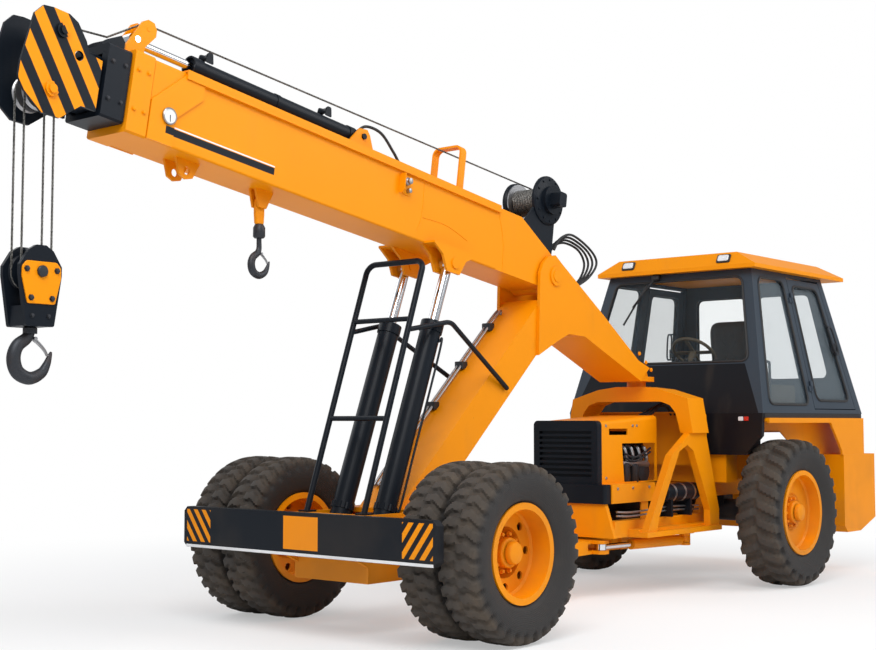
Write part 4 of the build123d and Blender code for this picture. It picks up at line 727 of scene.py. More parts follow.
RED = Plain("red_reflector", Hue.RED, 0.2, 110.0, 0.003)
ROPE = Wound()


@dataclass
class Tyre:
    """One tyre: its outline, and lugs that stand on the tread."""

    radius: float
    width: float
    flange: float
    seat: float
    bead: float
    centre: tuple[float, float, float]
    lugs: int
    skew: float
    share: float
    depth: float
    chevron: bool

    def shape(self) -> Shape:
        """Builds the tyre on a grid of turn and outline.

        The outline is a smooth line from bead to bead. The radius is then lowered by depth wherever
        the tread's wave, a fraction of turn plus a skew that grows from the middle, is past its share.
        """
        w, r = self.width / 2, self.radius
        half = [(self.seat, self.bead), (self.flange + 0.004, self.bead), (self.flange + 0.03, w * 0.78),
                ((r + self.flange) / 2, w), (r * 0.93, w * 0.97), (r * 0.968, w * 0.87),
                (r * 0.988, w * 0.70),
                (r * 0.998, w * 0.45), (r, w * 0.2)]
        outline = curve(half + [(a, -b) for a, b in half[::-1]], 76)
        outline = np.concatenate([outline,
                                  [(self.seat, -self.bead), (self.seat, 0.0), (self.seat, self.bead)]])
        steps = self.lugs * 10
        turn = np.linspace(0, 1, steps, endpoint=False)[:, None]
        base_r, y = outline.T
        t = np.abs(y) / w
        lean = self.skew * t + (0.0 if self.chevron else 0.10 * np.sin(t * 9.0))
        phase = (turn * self.lugs + lean + np.where(y > 0, 0.5, 0.0)) % 1.0
        edge = 0.06
        gap = np.clip((phase - self.share) / edge + 0.5, 0, 1) * np.clip((1.0 - phase) / edge + 0.5, 0, 1)
        middle = np.clip(1.2 - t / (0.10 if self.chevron else 0.16), 0, 1)
        reach = np.clip((base_r - r * 0.865) / (r * 0.035), 0, 1)
        cut = np.maximum(gap, middle * (0.75 if self.chevron else 0.45)) * reach * self.depth
        cut = np.minimum(cut, self.depth)
        radius = base_r - cut
        pull = 1.0 - 0.10 * gap * reach * np.clip((t - 0.6) / 0.4, 0, 1)
        a = 2 * pi * turn
        cx, cy, cz = self.centre
        points = np.stack([cx + radius * np.cos(a), cy + y * pull, cz + radius * np.sin(a)], axis=-1)
        return grid(row(points), True, True)


@dataclass
class Wheels:
    """All wheels: treaded tyres, nuts, hub caps and valve stems."""

    twin: tuple[float, float] = (1.1275, 0.8025)
    rear_y: float = 1.000
    nut_r: float = 0.118
    nuts: int = 10
    front_face: float = 1.0855
    rear_face: float = 1.038

    def build(self, shop: Shop) -> None:
        """Makes both sides by mirroring the left one."""
        front_x, front_r = FRONT_WHEEL
        rear_x, rear_r = REAR_WHEEL
        front = Shape.join([
            Tyre(front_r, 0.300, 0.312, 0.2856, 0.091, (front_x, y, front_r), 34, 0.35, 0.60, 0.020, False).shape()
            for y in self.twin])
        rear = Tyre(rear_r, 0.370, 0.350, 0.3256, 0.128, (rear_x, self.rear_y, rear_r), 26, 0.55, 0.52, 0.028,
                    True).shape()
        for side, word in ((1, "left"), (-1, "right")):
            flip = (lambda s: s) if side > 0 else Shape.mirrored
            shop.piece(f"treaded_front_{word}", flip(front), Rubber("front_rubber", FRONT_WHEEL, front_r),
                       f"front_wheel_{word}", 50.0, [f"front_tyres_{word}"])
            shop.piece(f"treaded_rear_{word}", flip(rear), Rubber("rear_rubber", REAR_WHEEL, rear_r),
                       f"rear_wheel_{word}", 50.0, [f"rear_tyre_{word}"])
            shop.piece(f"front_hub_{word}", flip(self.hub(front_x, front_r, self.front_face, self.nuts)), YELLOW,
                       f"front_wheel_{word}")
            shop.piece(f"rear_hub_{word}", flip(self.hub(rear_x, rear_r, self.rear_face, self.nuts)), YELLOW,
                       f"rear_wheel_{word}")

    def hub(self, x: float, z: float, face: float, nuts: int) -> Shape:
        """Nuts round the disc, a domed hub cap with its own small bolts, and a valve stem."""
        cap = np.array([(0.072, 0.0), (0.072, 0.020), (0.064, 0.032), (0.040, 0.040), (0.0, 0.042)])
        dome = revolve(cap, row((x, face + 0.058, z)), 32)
        rim = bolts(row(ring_of((x, face, z), self.nut_r, nuts)), (0, 1, 0), 0.013, 0.020)
        crown = bolts(row(ring_of((x, face + 0.086, z), 0.050, 6)), (0, 1, 0), 0.006, 0.008)
        stem = tube(row(curve([(x + 0.20, face - 0.012, z + 0.06), (x + 0.215, face + 0.01, z + 0.07),
                               (x + 0.225, face + 0.04, z + 0.075)], 8)), 0.006, 8)
        return Shape.join([dome, rim, crown, stem])


@dataclass
class Ropes:
    """Taut steel ropes: along the boom, over its rollers and sheaves, and the falls to the block."""

    lift: float = ROPE_R * 1.15

    def strand(self, start: Array, end: Array, turns: float = 0.0) -> Shape:
        """A rope as six strands laid round its middle line: each is a helix about the straight line from start to
        end.
        """
        length = float(np.linalg.norm(end - start))
        steps = max(8, int(length / 0.020))
        t = np.linspace(0, 1, steps)[:, None]
        line = start + t * (end - start)
        side, up, _ = basis(end - start)
        spin = t * length / 0.10 * 2 * pi
        coils = []
        for index in range(6):
            a = spin + index * pi / 3
            coils.append(tube(line + ROPE_R * 0.62 * (np.cos(a) * side + np.sin(a) * up), ROPE_R * 0.42, 5,
                              aside=side if abs(side[1]) < 0.9 else up))
        return Shape.join(coils)

    def wrap(self, centre: Array, radius: float, start: float, end: float, y: float) -> Shape:
        """Rope that lies in a sheave's groove between two angles in side view."""
        a = np.linspace(start, end, 22)
        path = np.stack([centre[0] + radius * np.cos(a), np.full_like(a, y),
                         centre[2] + radius * np.sin(a)], axis=-1)
        return tube(path, ROPE_R * 0.95, 8)

    def build(self, shop: Shop) -> None:
        """Makes the falls and the straight runs fixed in place on no body, the wraps on the head and the block,
        and the drum's rope.
        """
        top = on_boom(*np.array([FALL_PIN[0], 0.0, FALL_PIN[1]]))
        reach = HEAD_SHEAVE_R - ROPE_SEAT + self.lift
        drop = np.array([0.0, 0.0, -FALL_DROP])
        falls, over, under = [], [], []
        for y in (-FALL_Y, FALL_Y):
            for side in (-1, 1):
                start = top + np.array([side * reach, y, 0.0])
                falls.append(self.strand(start, start + drop))
            over.append(self.wrap(top, reach, 0.0, pi, y))
            under.append(self.wrap(top + drop, reach, pi, 2 * pi, y))
        made = shop.piece("rope_falls", Shape.join(falls), ROPE, "hoist_ropes", 60.0,
                          ["hoist_falls"], False)
        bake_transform(made)
        shop.piece("rope_over_head", Shape.join(over), ROPE, "hoist_ropes", 60.0)
        shop.piece("rope_in_block", Shape.join(under), ROPE, "hook_assembly", 60.0)
        drum_top = on_boom(WINCH[0] + 0.02, 0.0, WINCH[1] + DRUM_R + 0.012)
        roller = on_boom(ROLLER[0], 0.0, ROLLER[1] + ROLLER_R + ROPE_R)
        guide = on_boom(4.150, 0.0, 0.435)
        lead = on_boom(LEAD_PIN[0] - 0.02, 0.0, LEAD_PIN[1] + LEAD_SHEAVE_R - 0.007)
        runs = (("rope_to_roller", drum_top, roller, "boom", "boom_middle"),
                ("rope_to_guide", roller, guide, "boom_middle", "boom_outer"),
                ("rope_to_head", guide, lead, "boom_outer", "boom_tip"))
        for name, start, end, first, second in runs:
            made = shop.piece(name, self.strand(start, end), ROPE, first, 60.0, ride=False)
            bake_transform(made)
        self.drum(shop)

    def drum(self, shop: Shop) -> None:
        """Rope on the drum: one layer, a helix whose turns lie side by side."""
        turns = 15
        t = np.linspace(0, 1, turns * 20)
        a = 2 * pi * turns * t
        width = 0.236
        path = on_boom(WINCH[0] + (DRUM_R + ROPE_R) * np.cos(a), -width / 2 + width * t,
                       WINCH[1] + (DRUM_R + ROPE_R) * np.sin(a))
        shop.piece("rope_on_drum", tube(path, ROPE_R * 1.15, 7), ROPE, "boom", 60.0)


class Stage:
    """Floor, light and the camera at the photograph's angle."""

    eye: Colour = (6.9637, 6.4281, 1.3695)
    yaw: float = radians(49.8)
    pitch: float = radians(3.93)
    lens: float = 57.68
    floor_near: float = 3.0
    floor_far: float = 8.0

    def build(self) -> None:
        """Makes all three."""
        self.camera()
        self.floor()
        self.lamp("key_light", (6.5, 5.0, 9.0), 760.0, 6.0)
        self.lamp("fill_light", (2.0, -9.0, 6.0), 260.0, 8.0)
        self.lamp("sky_light", (-5.0, 7.5, 8.0), 480.0, 7.0)
        self.world()

    def camera(self) -> None:
        """Aims the camera along the fitted direction."""
        data = bpy.data.cameras.new("photo_camera")
        data.lens, data.sensor_width, data.sensor_fit = self.lens, SENSOR, "HORIZONTAL"
        data.clip_end = 400.0
        made = bpy.data.objects.new("photo_camera", data)
        made.location = Vector(row(self.eye))
        look = Vector((-sin(self.yaw) * cos(self.pitch), -cos(self.yaw) * cos(self.pitch), sin(self.pitch)))
        made.rotation_euler = look.to_track_quat("-Z", "Y").to_euler()
        bpy.context.scene.collection.objects.link(made)
        bpy.context.scene.camera = made

    def floor(self) -> None:
        """A wide pale disc at ground level."""
        g = Graph("pale_floor")
        shade = g.mix(g.noise(0.6, 3.0) * 0.08, (0.88, 0.88, 0.88), (0.84, 0.84, 0.84))
        near = g.node("ShaderNodeBsdfDiffuse", inputs={"Color": shade})
        far = g.node("ShaderNodeEmission", inputs={"Color": (1.0, 1.0, 1.0, 1.0), "Strength": 1.0})
        seen = g.node("ShaderNodeLightPath", output="Is Camera Ray")
        gone = (g.x * g.x + g.y * g.y).root().ease(self.floor_near, self.floor_far)
        both = g.node("ShaderNodeMixShader", inputs={0: (gone * 0.6 + 0.4) * seen, 1: near, 2: far})
        g.node_output(both)
        material = g.material
        shape = revolve(np.array([(0.0, 0.0), (20.0, 0.0), (160.0, 0.0)]), (0, 0, -0.001), 64, "Z")
        mesh = bpy.data.meshes.new("floor")
        mesh.from_pydata(shape.verts.tolist(), [], [list(f) for f in shape.loops.reshape(-1, 4).tolist()])
        mesh.materials.append(material)
        made = bpy.data.objects.new("floor", mesh)
        bpy.context.scene.collection.objects.link(made)

    def lamp(self, name: str, place: Colour, power: float, size: float) -> None:
        """A soft square lamp that faces the machine's middle."""
        data = bpy.data.lights.new(name, "AREA")
        data.energy, data.size = power, size
        made = bpy.data.objects.new(name, data)
        made.location = place
        made.rotation_euler = (Vector(LAMP_AIM) - Vector(place)).to_track_quat("-Z", "Y").to_euler()
        bpy.context.scene.collection.objects.link(made)

    def world(self) -> None:
        """Soft grey light from all round, seen as white by the camera and through glass."""
        world = bpy.data.worlds.new("studio")
        bpy.context.scene.world = world
        world.use_nodes = True
        tree = world.node_tree
        tree.nodes.clear()
        path = tree.nodes.new("ShaderNodeLightPath")
        seen = tree.nodes.new("ShaderNodeMath")
        seen.operation = "MAXIMUM"
        tree.links.new(path.outputs["Is Camera Ray"], seen.inputs[0])
        tree.links.new(path.outputs["Is Transmission Ray"], seen.inputs[1])
        light = tree.nodes.new("ShaderNodeBackground")
        light.inputs["Color"].default_value = (0.93, 0.96, 1.0, 1.0)
        light.inputs["Strength"].default_value = 0.50
        back = tree.nodes.new("ShaderNodeBackground")
        back.inputs["Color"].default_value = (1.0, 1.0, 1.0, 1.0)
        blend = tree.nodes.new("ShaderNodeMixShader")
        out = tree.nodes.new("ShaderNodeOutputWorld")
        tree.links.new(seen.outputs[0], blend.inputs[0])
        tree.links.new(light.outputs[0], blend.inputs[1])
        tree.links.new(back.outputs[0], blend.inputs[2])
        tree.links.new(blend.outputs[0], out.inputs["Surface"])
        bpy.context.scene.view_settings.view_transform = "Standard"


@dataclass
class HookGear:
    """The block's covers and bolts, both forged hooks with their latches, and the small hook's link."""

    size: float = 0.092
    small: float = 0.060
    drop: float = 0.450
    small_drop: float = 0.375
    face: float = 0.092

    def bowl(self, centre: Array, size: float, top: float) -> Shape:
        """A hook as an oval carried along its middle line, thick in the bowl and thin at neck and tip.

        Args:
            centre: the throat's middle.
            size: the hook's unit, about two thirds of the throat's width.
            top: the shank's top above the middle, in that unit.
        Returns:
            The surface.
        """
        line = np.array([(0, top, 0.28), (0, 0.6 * top + 0.6, 0.28), (0, 1.6, 0.30), (0.22, 1.10, 0.35),
                         (0.82, 0.62, 0.39),
                         (1.05, -0.10, 0.42), (0.78, -0.86, 0.42), (0.0, -1.20, 0.38), (-0.78, -0.90, 0.32),
                         (-1.14, -0.40, 0.24), (-1.34, 0.10, 0.15), (-1.44, 0.36, 0.07)])
        smooth = curve(line, 90)
        path = centre + size * np.column_stack([smooth[:, 0], 0 * smooth[:, 0], smooth[:, 1]])
        return tube(path, size * smooth[:, 2], 20, flat=0.86)

    def latch(self, centre: Array, size: float) -> Shape:
        """The spring latch from the neck down to the tip, with its pin."""
        line = curve([(-0.30, 1.02), (-0.62, 0.78), (-0.98, 0.44), (-1.18, 0.12)], 14)
        path = centre + size * np.column_stack([line[:, 0], 0 * line[:, 0], line[:, 1]])
        pin = revolve(np.array([(0.0, -0.30), (0.11, -0.30), (0.11, 0.30), (0.0, 0.30)]) * size,
                      centre + size * np.array([-0.22, 0.0, 1.08]), 14)
        return Shape.join([tube(path, np.linspace(0.10, 0.06, 14) * size, 10, flat=2.2), pin])

    def build(self, shop: Shop) -> None:
        """Makes the gear of both hooks."""
        pin = on_boom(FALL_PIN[0], 0.0, FALL_PIN[1]) - np.array([0.0, 0.0, FALL_DROP])
        self.block(shop, pin)
        centre = pin - np.array([0.0, 0.0, self.drop])
        nut = np.array([(0.0, 0.0), (0.042, 0.0), (0.042, 0.032), (0.034, 0.040), (0.0, 0.040)])
        main = Shape.join([self.bowl(centre, self.size, 3.45),
                           revolve(nut, pin - np.array([0, 0, 0.178]), 6, "Z"),
                           revolve(nut * 0.9, pin - np.array([0, 0, 0.325]), 24, "Z")])
        shop.piece("forged_main_hook", main, FORGED, "hook", 40.0, ["main_hook"])
        shop.piece("main_hook_latch", self.latch(centre, self.size), STEEL, "hook", 40.0)
        hang = on_boom(AUX_PIN[0], 0.0, AUX_PIN[1])
        low = hang - np.array([0.0, 0.0, self.small_drop])
        shank = np.array([(0.0, -0.215), (0.030, -0.215), (0.038, -0.205), (0.038, -0.150), (0.026, -0.128),
                          (0.0, -0.128)])
        small = Shape.join([self.bowl(low, self.small, 2.8), revolve(shank, hang, 28, "Z")])
        shop.piece("forged_small_hook", small, FORGED, "small_hook", 40.0, ["aux_hook"])
        shop.piece("small_hook_latch", self.latch(low, self.small), STEEL, "small_hook", 40.0)
        eye = [(-0.034, 0.030), (0.034, 0.030), (0.036, -0.060), (0.030, -0.130), (-0.030, -0.130),
               (-0.036, -0.060)]
        flat = rounded(eye, 0.014)
        link = slab(hang + np.column_stack([flat[:, 0], 0 * flat[:, 0] - 0.012, flat[:, 1]]), (0, 1, 0),
                    0.024, 0.004)
        collar = revolve(np.array([(0.0, -0.020), (0.022, -0.020), (0.022, 0.020), (0.0, 0.020)]), hang, 24)
        shop.piece("small_hook_link", Shape.join([link, collar]), YELLOW, "small_hook")

    def block(self, shop: Shop, pin: Array) -> None:
        """Yellow covers on both cheeks, dark bolts, pin caps and two lower bolts."""
        shape = [(-0.092, 0.052), (0.092, 0.052), (0.118, 0.022), (0.120, -0.030), (0.084, -0.172),
                 (-0.084, -0.172),
                 (-0.120, -0.030), (-0.118, 0.022)]
        flat = rounded(shape, 0.010)
        outline = pin + np.column_stack([flat[:, 0], 0 * flat[:, 0] + self.face - 0.001, flat[:, 1]])
        cover = slab(outline, (0, 1, 0), 0.009, 0.002)
        shop.piece("block_covers", Shape.join([cover, cover.mirrored()]), YELLOW, "hook_assembly")
        spots = pin + np.array([(-0.092, 0.100, 0.008), (0.092, 0.100, 0.008), (-0.064, 0.100, -0.142),
                                (0.064, 0.100, -0.142)])
        cap = revolve(np.array([(0.031, 0.0), (0.031, 0.012), (0.026, 0.017), (0.0, 0.019)]),
                      pin + np.array([0, 0.099, 0]), 28)
        lower = pin + np.array([(-0.05, 0.092, -0.235), (0.05, 0.092, -0.235)])
        near = Shape.join([bolts(spots, (0, 1, 0), 0.013, 0.013), cap, bolts(lower, (0, 1, 0), 0.010, 0.010)])
        shop.piece("block_bolts", Shape.join([near, near.mirrored()]), FORGED, "hook_assembly")


@dataclass
class BoomTrim:
    """What sits on the boom: collar bolts, slope gauge, valve bracket, cylinder trim, weld beads."""

    mid_face: float = 0.178
    third_face: float = 0.160
    flare_face: float = 0.182

    def build(self, shop: Shop) -> None:
        """Makes the trim of each section."""
        upper = [(3.962, 0.255), (4.032, 0.255), (3.962, 0.026), (4.032, 0.026)]
        third = [(4.110, 0.250), (4.196, 0.250), (4.110, 0.035), (4.196, 0.035)]
        for name, spots, face, body, finish in (("mid_collar_bolts", upper, self.mid_face, "boom_middle",
                                                 YELLOW),
                                                ("third_collar_bolts", third, self.third_face, "boom_outer",
                                                 FORGED)):
            u, v = np.array(spots).T
            near = bolts(on_boom(u, face, v), (0, 1, 0), 0.011, 0.010)
            shop.piece(name, Shape.join([near, near.mirrored()]), finish, body)
        self.gauge(shop)
        self.bracket(shop)
        self.cylinder(shop)
        self.seams(shop)

    def gauge(self, shop: Shop) -> None:
        """The round slope gauge: a dark rim with a pale dial, and a needle."""
        middle = on_boom(3.790, self.flare_face - 0.001, 0.058)
        rim = revolve(np.array([(0.0, 0.0), (0.047, 0.0), (0.050, 0.006), (0.049, 0.014), (0.043, 0.018),
                                (0.041, 0.012)]),
                      middle, 40)
        shop.piece("gauge_rim", rim, STEEL, "boom")
        dial = revolve(np.array([(0.042, 0.010), (0.042, 0.013), (0.0, 0.0135)]), middle, 40)
        shop.piece("gauge_dial", dial, WHITE, "boom")
        needle = tube(np.stack([middle + (0.0, 0.015, 0.006), middle + (0.0, 0.015, -0.034)]),
                      np.array([0.003, 0.0012]), 8)
        shop.piece("gauge_needle", needle, TRIM, "boom")

    def bracket(self, shop: Shop) -> None:
        """A small angle bracket on the side under the lip, with a valve body and two fittings."""
        flat = rounded([(1.700, 0.300), (1.800, 0.300), (1.800, 0.190), (1.765, 0.165), (1.700, 0.165)],
                       0.012)
        plate = slab(on_boom(flat[:, 0], BASE_HALF_W - 0.001, flat[:, 1]), (0, 1, 0), 0.008, 0.002)
        ear = slab(on_boom(1.806 + 0 * flat[:, 0], BASE_HALF_W + 0.5 * (flat[:, 0] - 1.700), flat[:, 1]),
                   (1, 0, 0.15), 0.007)
        shop.piece("valve_bracket", Shape.join([plate, ear]), YELLOW, "boom")
        body = revolve(np.array([(0.0, 0.0), (0.026, 0.0), (0.028, 0.020), (0.020, 0.030), (0.020, 0.045),
                                 (0.0, 0.050)]),
                       on_boom(1.755, BASE_HALF_W + 0.006, 0.255), 20)
        low = revolve(np.array([(0.0, 0.0), (0.016, 0.0), (0.016, 0.030), (0.0, 0.034)]),
                      on_boom(1.735, BASE_HALF_W + 0.006, 0.195), 16)
        shop.piece("valve_body", Shape.join([body, low]), STEEL, "boom")

    def cylinder(self, shop: Shop) -> None:
        """The telescope cylinder's gland and clamp rings, two rope rollers on it, and its feed hose."""
        across = []
        for u, wide, reach in ((3.530, 0.030, 0.064), (2.185, 0.030, 0.062), (2.86, 0.018, 0.060)):
            t = np.linspace(0, 2 * pi, 40, endpoint=False)
            profile = [(0.054, -wide), (reach, -wide), (reach, wide), (0.054, wide)]
            ring = [on_boom(u + h, r * np.cos(t), TELE_AXIS_V + r * np.sin(t)) for r, h in profile]
            across.append(grid(np.stack(ring, axis=1), True, True))
        shop.piece("cylinder_rings", Shape.join(across), NAVY, "boom", 30.0)
        parts = []
        for u in (2.420, 3.440):
            roller = revolve(np.array([(0.0, -0.035), (0.026, -0.035), (0.018, -0.012), (0.018, 0.012),
                                       (0.026, 0.035), (0.0, 0.035)]),
                             on_boom(u, 0.0, TELE_AXIS_V + 0.092), 24)
            for y in (-0.042, 0.038):
                flat = rounded([(u - 0.030, 0.525), (u + 0.030, 0.525), (u + 0.018, 0.590),
                                (u - 0.018, 0.590)], 0.010)
                parts.append(slab(on_boom(flat[:, 0], y, flat[:, 1]), (0, 1, 0), 0.005))
            parts.append(roller)
        shop.piece("rope_rollers", Shape.join(parts), NAVY, "boom")
        hose = curve([(2.150, 0.035, 0.500), (2.080, 0.060, 0.560), (1.960, 0.090, 0.545),
                      (1.840, 0.105, 0.450),
                      (1.780, 0.120, 0.385), (1.700, 0.122, 0.375)], 46)
        path = on_boom(hose[:, 0], hose[:, 1], hose[:, 2])
        shop.piece("cylinder_hose", tube(path, 0.010, 12), TRIM, "boom")

    def seams(self, shop: Shop) -> None:
        """Weld beads where the boom's side plates meet, and the reinforcing edge by the tail."""
        lines = [[(0.735, 0.352), (0.640, 0.120), (0.620, -0.105)],
                 [(1.560, 0.300), (1.560, 0.060), (1.600, -0.050)],
                 [(1.050, 0.020), (1.300, 0.070), (1.560, 0.060)]]
        beads = []
        for line in lines:
            u, v = curve(line, 40).T
            beads.append(tube(on_boom(u, BASE_HALF_W, v), 0.0035 + 0.0008 * np.sin(np.arange(40) * 2.1), 8))
        near = Shape.join(beads)
        shop.piece("boom_weld_beads", Shape.join([near, near.mirrored()]), YELLOW, "boom",
                   60.0)


@dataclass
class WinchTrim:
    """The winch's gear housing and motor details, and the hoses that loop down to the neck."""

    housing_r: float = 0.190

    def build(self, shop: Shop) -> None:
        """Makes housing, bolts and hoses."""
        middle = on_boom(WINCH[0], 0.0, WINCH[1])
        wall = np.array([(0.0, 0.128), (0.150, 0.128), (self.housing_r - 0.012, 0.130),
                         (self.housing_r, 0.142),
                         (self.housing_r, 0.158), (self.housing_r - 0.012, 0.170), (0.110, 0.180),
                         (0.100, 0.200), (0.0, 0.202)])
        ring = bolts(middle + ring_of((0, 0.170, 0), 0.160, 12), (0, 1, 0), 0.009, 0.010)
        far = revolve(wall * np.array([0.86, 1.0]), middle, 48).mirrored()
        shop.piece("winch_housings", Shape.join([revolve(wall, middle, 56), ring, far]), NAVY, "boom")
        hoses = []
        for index, y in enumerate((0.035, 0.062, 0.090, 0.118)):
            lift = 0.018 * index
            route = [(-1.900, y, 2.700), (-1.985, y, 2.742 + lift), (-2.150, y, 2.785 + lift),
                     (-2.330 - lift, y + 0.01, 2.745),
                     (-2.405 - lift, y + 0.02, 2.640), (-2.350, y + 0.02, 2.520),
                     (-2.235 + lift, y + 0.01, 2.430), (-2.180 + lift, y, 2.385)]
            hoses.append(tube(row(curve(route, 70)), 0.0095, 12))
        made = shop.piece("winch_hoses", Shape.join(hoses), TRIM, "boom", ride=False)
        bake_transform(made)


@dataclass
class FrontTrim:
    """The front frame's trim: bumper strip, column pipes with clamps, cylinder glands and neck bolts."""

    foot: tuple[float, float] = (-0.022, 0.790)
    head: tuple[float, float] = (-1.640, 2.290)

    def build(self, shop: Shop) -> None:
        """Makes the trim."""
        strip = brick(row((0.700, -1.105, 0.521)), row((0.7115, 1.105, 0.540)), 0.003)
        shop.piece("bumper_strip", strip, WHITE, "front_frame")
        foot, head = np.array(self.foot), np.array(self.head)
        out = np.array([head[1] - foot[1], foot[0] - head[0]])
        out /= np.linalg.norm(out)
        pipes, clamps = [], []
        for y in (-0.150, -0.115):
            marks = [(0.10, 0.004), (0.12, 0.030), (0.50, 0.030), (0.90, 0.030), (0.93, 0.004)]
            flat = np.array([foot + t * (head - foot) + h * out for t, h in marks])
            path = curve(np.column_stack([flat[:, 0], 0 * flat[:, 0] + y, flat[:, 1]]), 60)
            pipes.append(tube(row(path), 0.009, 12))
        for t in (0.25, 0.45, 0.65, 0.85):
            spot = foot + t * (head - foot)
            clamps.append(brick(row((spot[0] - 0.022, -0.172, spot[1] - 0.012)),
                                row((spot[0] + 0.040, -0.094, spot[1] + 0.046))))
        shop.piece("column_pipes", Shape.join(pipes), STEEL, "front_frame")
        shop.piece("pipe_clamps", Shape.join(clamps), FORGED, "front_frame")
        self.glands(shop)
        spots = row(np.array([(-3.16, 0.207, 1.80), (-3.08, 0.207, 1.86), (-2.98, 0.207, 1.93)]))
        near = bolts(spots, (0, 1, 0), 0.014, 0.010)
        shop.piece("neck_bolts", Shape.join([near, near.mirrored()]), YELLOW, "front_frame")

    def glands(self, shop: Shop) -> None:
        """Gland nuts with spanner slots at the lift cylinders' mouths, and a feed pipe on each barrel."""
        axis = np.array([-0.3576, 0.0, 0.9339])
        base = row((0.190, 0.195, 0.620))
        side, up, _ = basis(axis)
        t = np.linspace(0, 2 * pi, 48, endpoint=False)
        rings = []
        for low, high, reach in ((1.462, 1.523, 0.080), (0.170, 0.215, 0.079)):
            wave = reach - 0.005 * (np.cos(12 * t) > 0.55)
            rows = [base + h * axis + r[:, None] * (np.cos(t)[:, None] * side + np.sin(t)[:, None] * up)
                    for h, r in ((low, 0.070 + 0 * t), (low, wave), (high, wave), (high, 0.070 + 0 * t))]
            rings.append(grid(np.stack(rows, axis=1), True, True))
        line = [(0.20, 0.0), (0.22, 0.022), (0.60, 0.022), (1.36, 0.022), (1.40, 0.0)]
        out = 0.85 * np.array([0, 1.0, 0]) + 0.52 * np.cross(axis, (0, 1.0, 0))
        flat = np.array([base + h * axis + (0.073 + lift) * out for h, lift in line])
        rings.append(tube(curve(flat, 60), 0.008, 10, aside=(0.3, 1.0, 0.2)))
        near = Shape.join(rings)
        shop.piece("lift_glands", Shape.join([near, near.mirrored()]), NAVY, "lift_cylinder_barrels",
                   30.0)


@dataclass
class EngineTrim:
    """The engine bay: pipes and canisters in the side opening, hood bolts, tank bands and hoses."""

    side: float = 0.215

    def build(self, shop: Shop) -> None:
        """Makes the bay's trim on the left side, and what mirrors on the right."""
        runners, cans = [], []
        for x in (-2.660, -2.760, -2.860, -2.960):
            runners.append(tube(row(curve([(x, self.side - 0.02, 1.17), (x, self.side + 0.035, 1.155),
                                           (x - 0.02, self.side + 0.045, 1.09),
                                           (x - 0.05, self.side + 0.030, 1.04)], 22)), 0.017, 12,
                                           aside=(1.0, 0.0, 0.0)))
        log = curve([(-2.620, self.side + 0.035, 1.030), (-2.800, self.side + 0.040, 1.030),
                     (-3.010, self.side + 0.035, 1.020)], 30)
        runners.append(tube(row(log), 0.026, 16))
        shop.piece("engine_pipes", Shape.join(runners), STEEL, "rear_chassis")
        can = np.array([(0.0, -0.075), (0.036, -0.075), (0.042, -0.065), (0.042, 0.050), (0.046, 0.056),
                        (0.046, 0.066), (0.020, 0.078), (0.0, 0.080)])
        for x, z in ((-2.665, 0.960), (-2.790, 0.950)):
            cans.append(revolve(can, row((x, self.side + 0.046, z)), 28, "Z"))
        pulley = np.array([(0.0, -0.02), (0.085, -0.02), (0.085, -0.008), (0.070, 0.0), (0.085, 0.008),
                           (0.085, 0.02), (0.030, 0.024), (0.0, 0.03)])
        cans.append(revolve(pulley, row((-2.940, self.side + 0.030, 0.960)), 36))
        for low in (0.0, 0.03):
            line = [(-2.620, self.side + 0.06, 1.120 - low), (-2.740, self.side + 0.068, 1.080 - low),
                    (-2.880, self.side + 0.064, 1.100 - low),
                    (-3.040, self.side + 0.050, 1.150 - low)]
            cans.append(tube(row(curve(line, 40)), 0.009, 10))
        shop.piece("engine_fittings", Shape.join(cans), FORGED, "rear_chassis")
        bands = []
        for x in (-3.020, -3.170, -3.320):
            bands.append(revolve(np.array([(0.070, -0.012), (0.0755, -0.012), (0.0755, 0.012),
                                           (0.070, 0.012)]), row((x, 0.450, 0.792)),
                                 40, "X", True))
        shop.piece("tank_bands", Shape.join(bands), STEEL, "rear_chassis")
        hood = row(np.array([(-2.330, 0.299, 0.925), (-2.330, 0.299, 1.335), (-2.72, 0.299, 1.335),
                             (-2.78, 0.299, 1.335)]))
        skirt = row(np.array([(-2.340, 0.3995, 0.845), (-2.560, 0.3995, 0.845), (-2.800, 0.3995, 0.845)]))
        near = bolts(np.concatenate([hood, skirt]), (0, 1, 0), 0.010, 0.008)
        shop.piece("hood_bolts", Shape.join([near, near.mirrored()]), STEEL, "rear_chassis")
        self.hoses(shop)

    def hoses(self, shop: Shop) -> None:
        """Hoses from the cab's foot under the arch to the hood, and steel lines to the steering cylinders."""
        lines = []
        for y, lift in ((0.16, 0.0), (0.20, 0.02), (0.24, 0.04)):
            lines.append(tube(row(curve([(-3.560, y, 1.420), (-3.470, y, 1.500 + lift),
                                         (-3.330, y - 0.02, 1.490 + lift), (-3.200, y - 0.05, 1.440),
                                         (-3.100, y - 0.06, 1.405)], 40)), 0.011, 12))
        shop.piece("arch_hoses", Shape.join(lines), TRIM, "rear_chassis")
        rail = [tube(row(curve([(-3.500, 0.445, z), (-3.000, 0.447, z + 0.01), (-2.500, 0.447, z - 0.01),
                                (-2.260, 0.44, z)], 50)), 0.008, 10)
                for z in (0.640, 0.670)]
        shop.piece("rail_pipes", Shape.join(rail), STEEL, "rear_chassis")


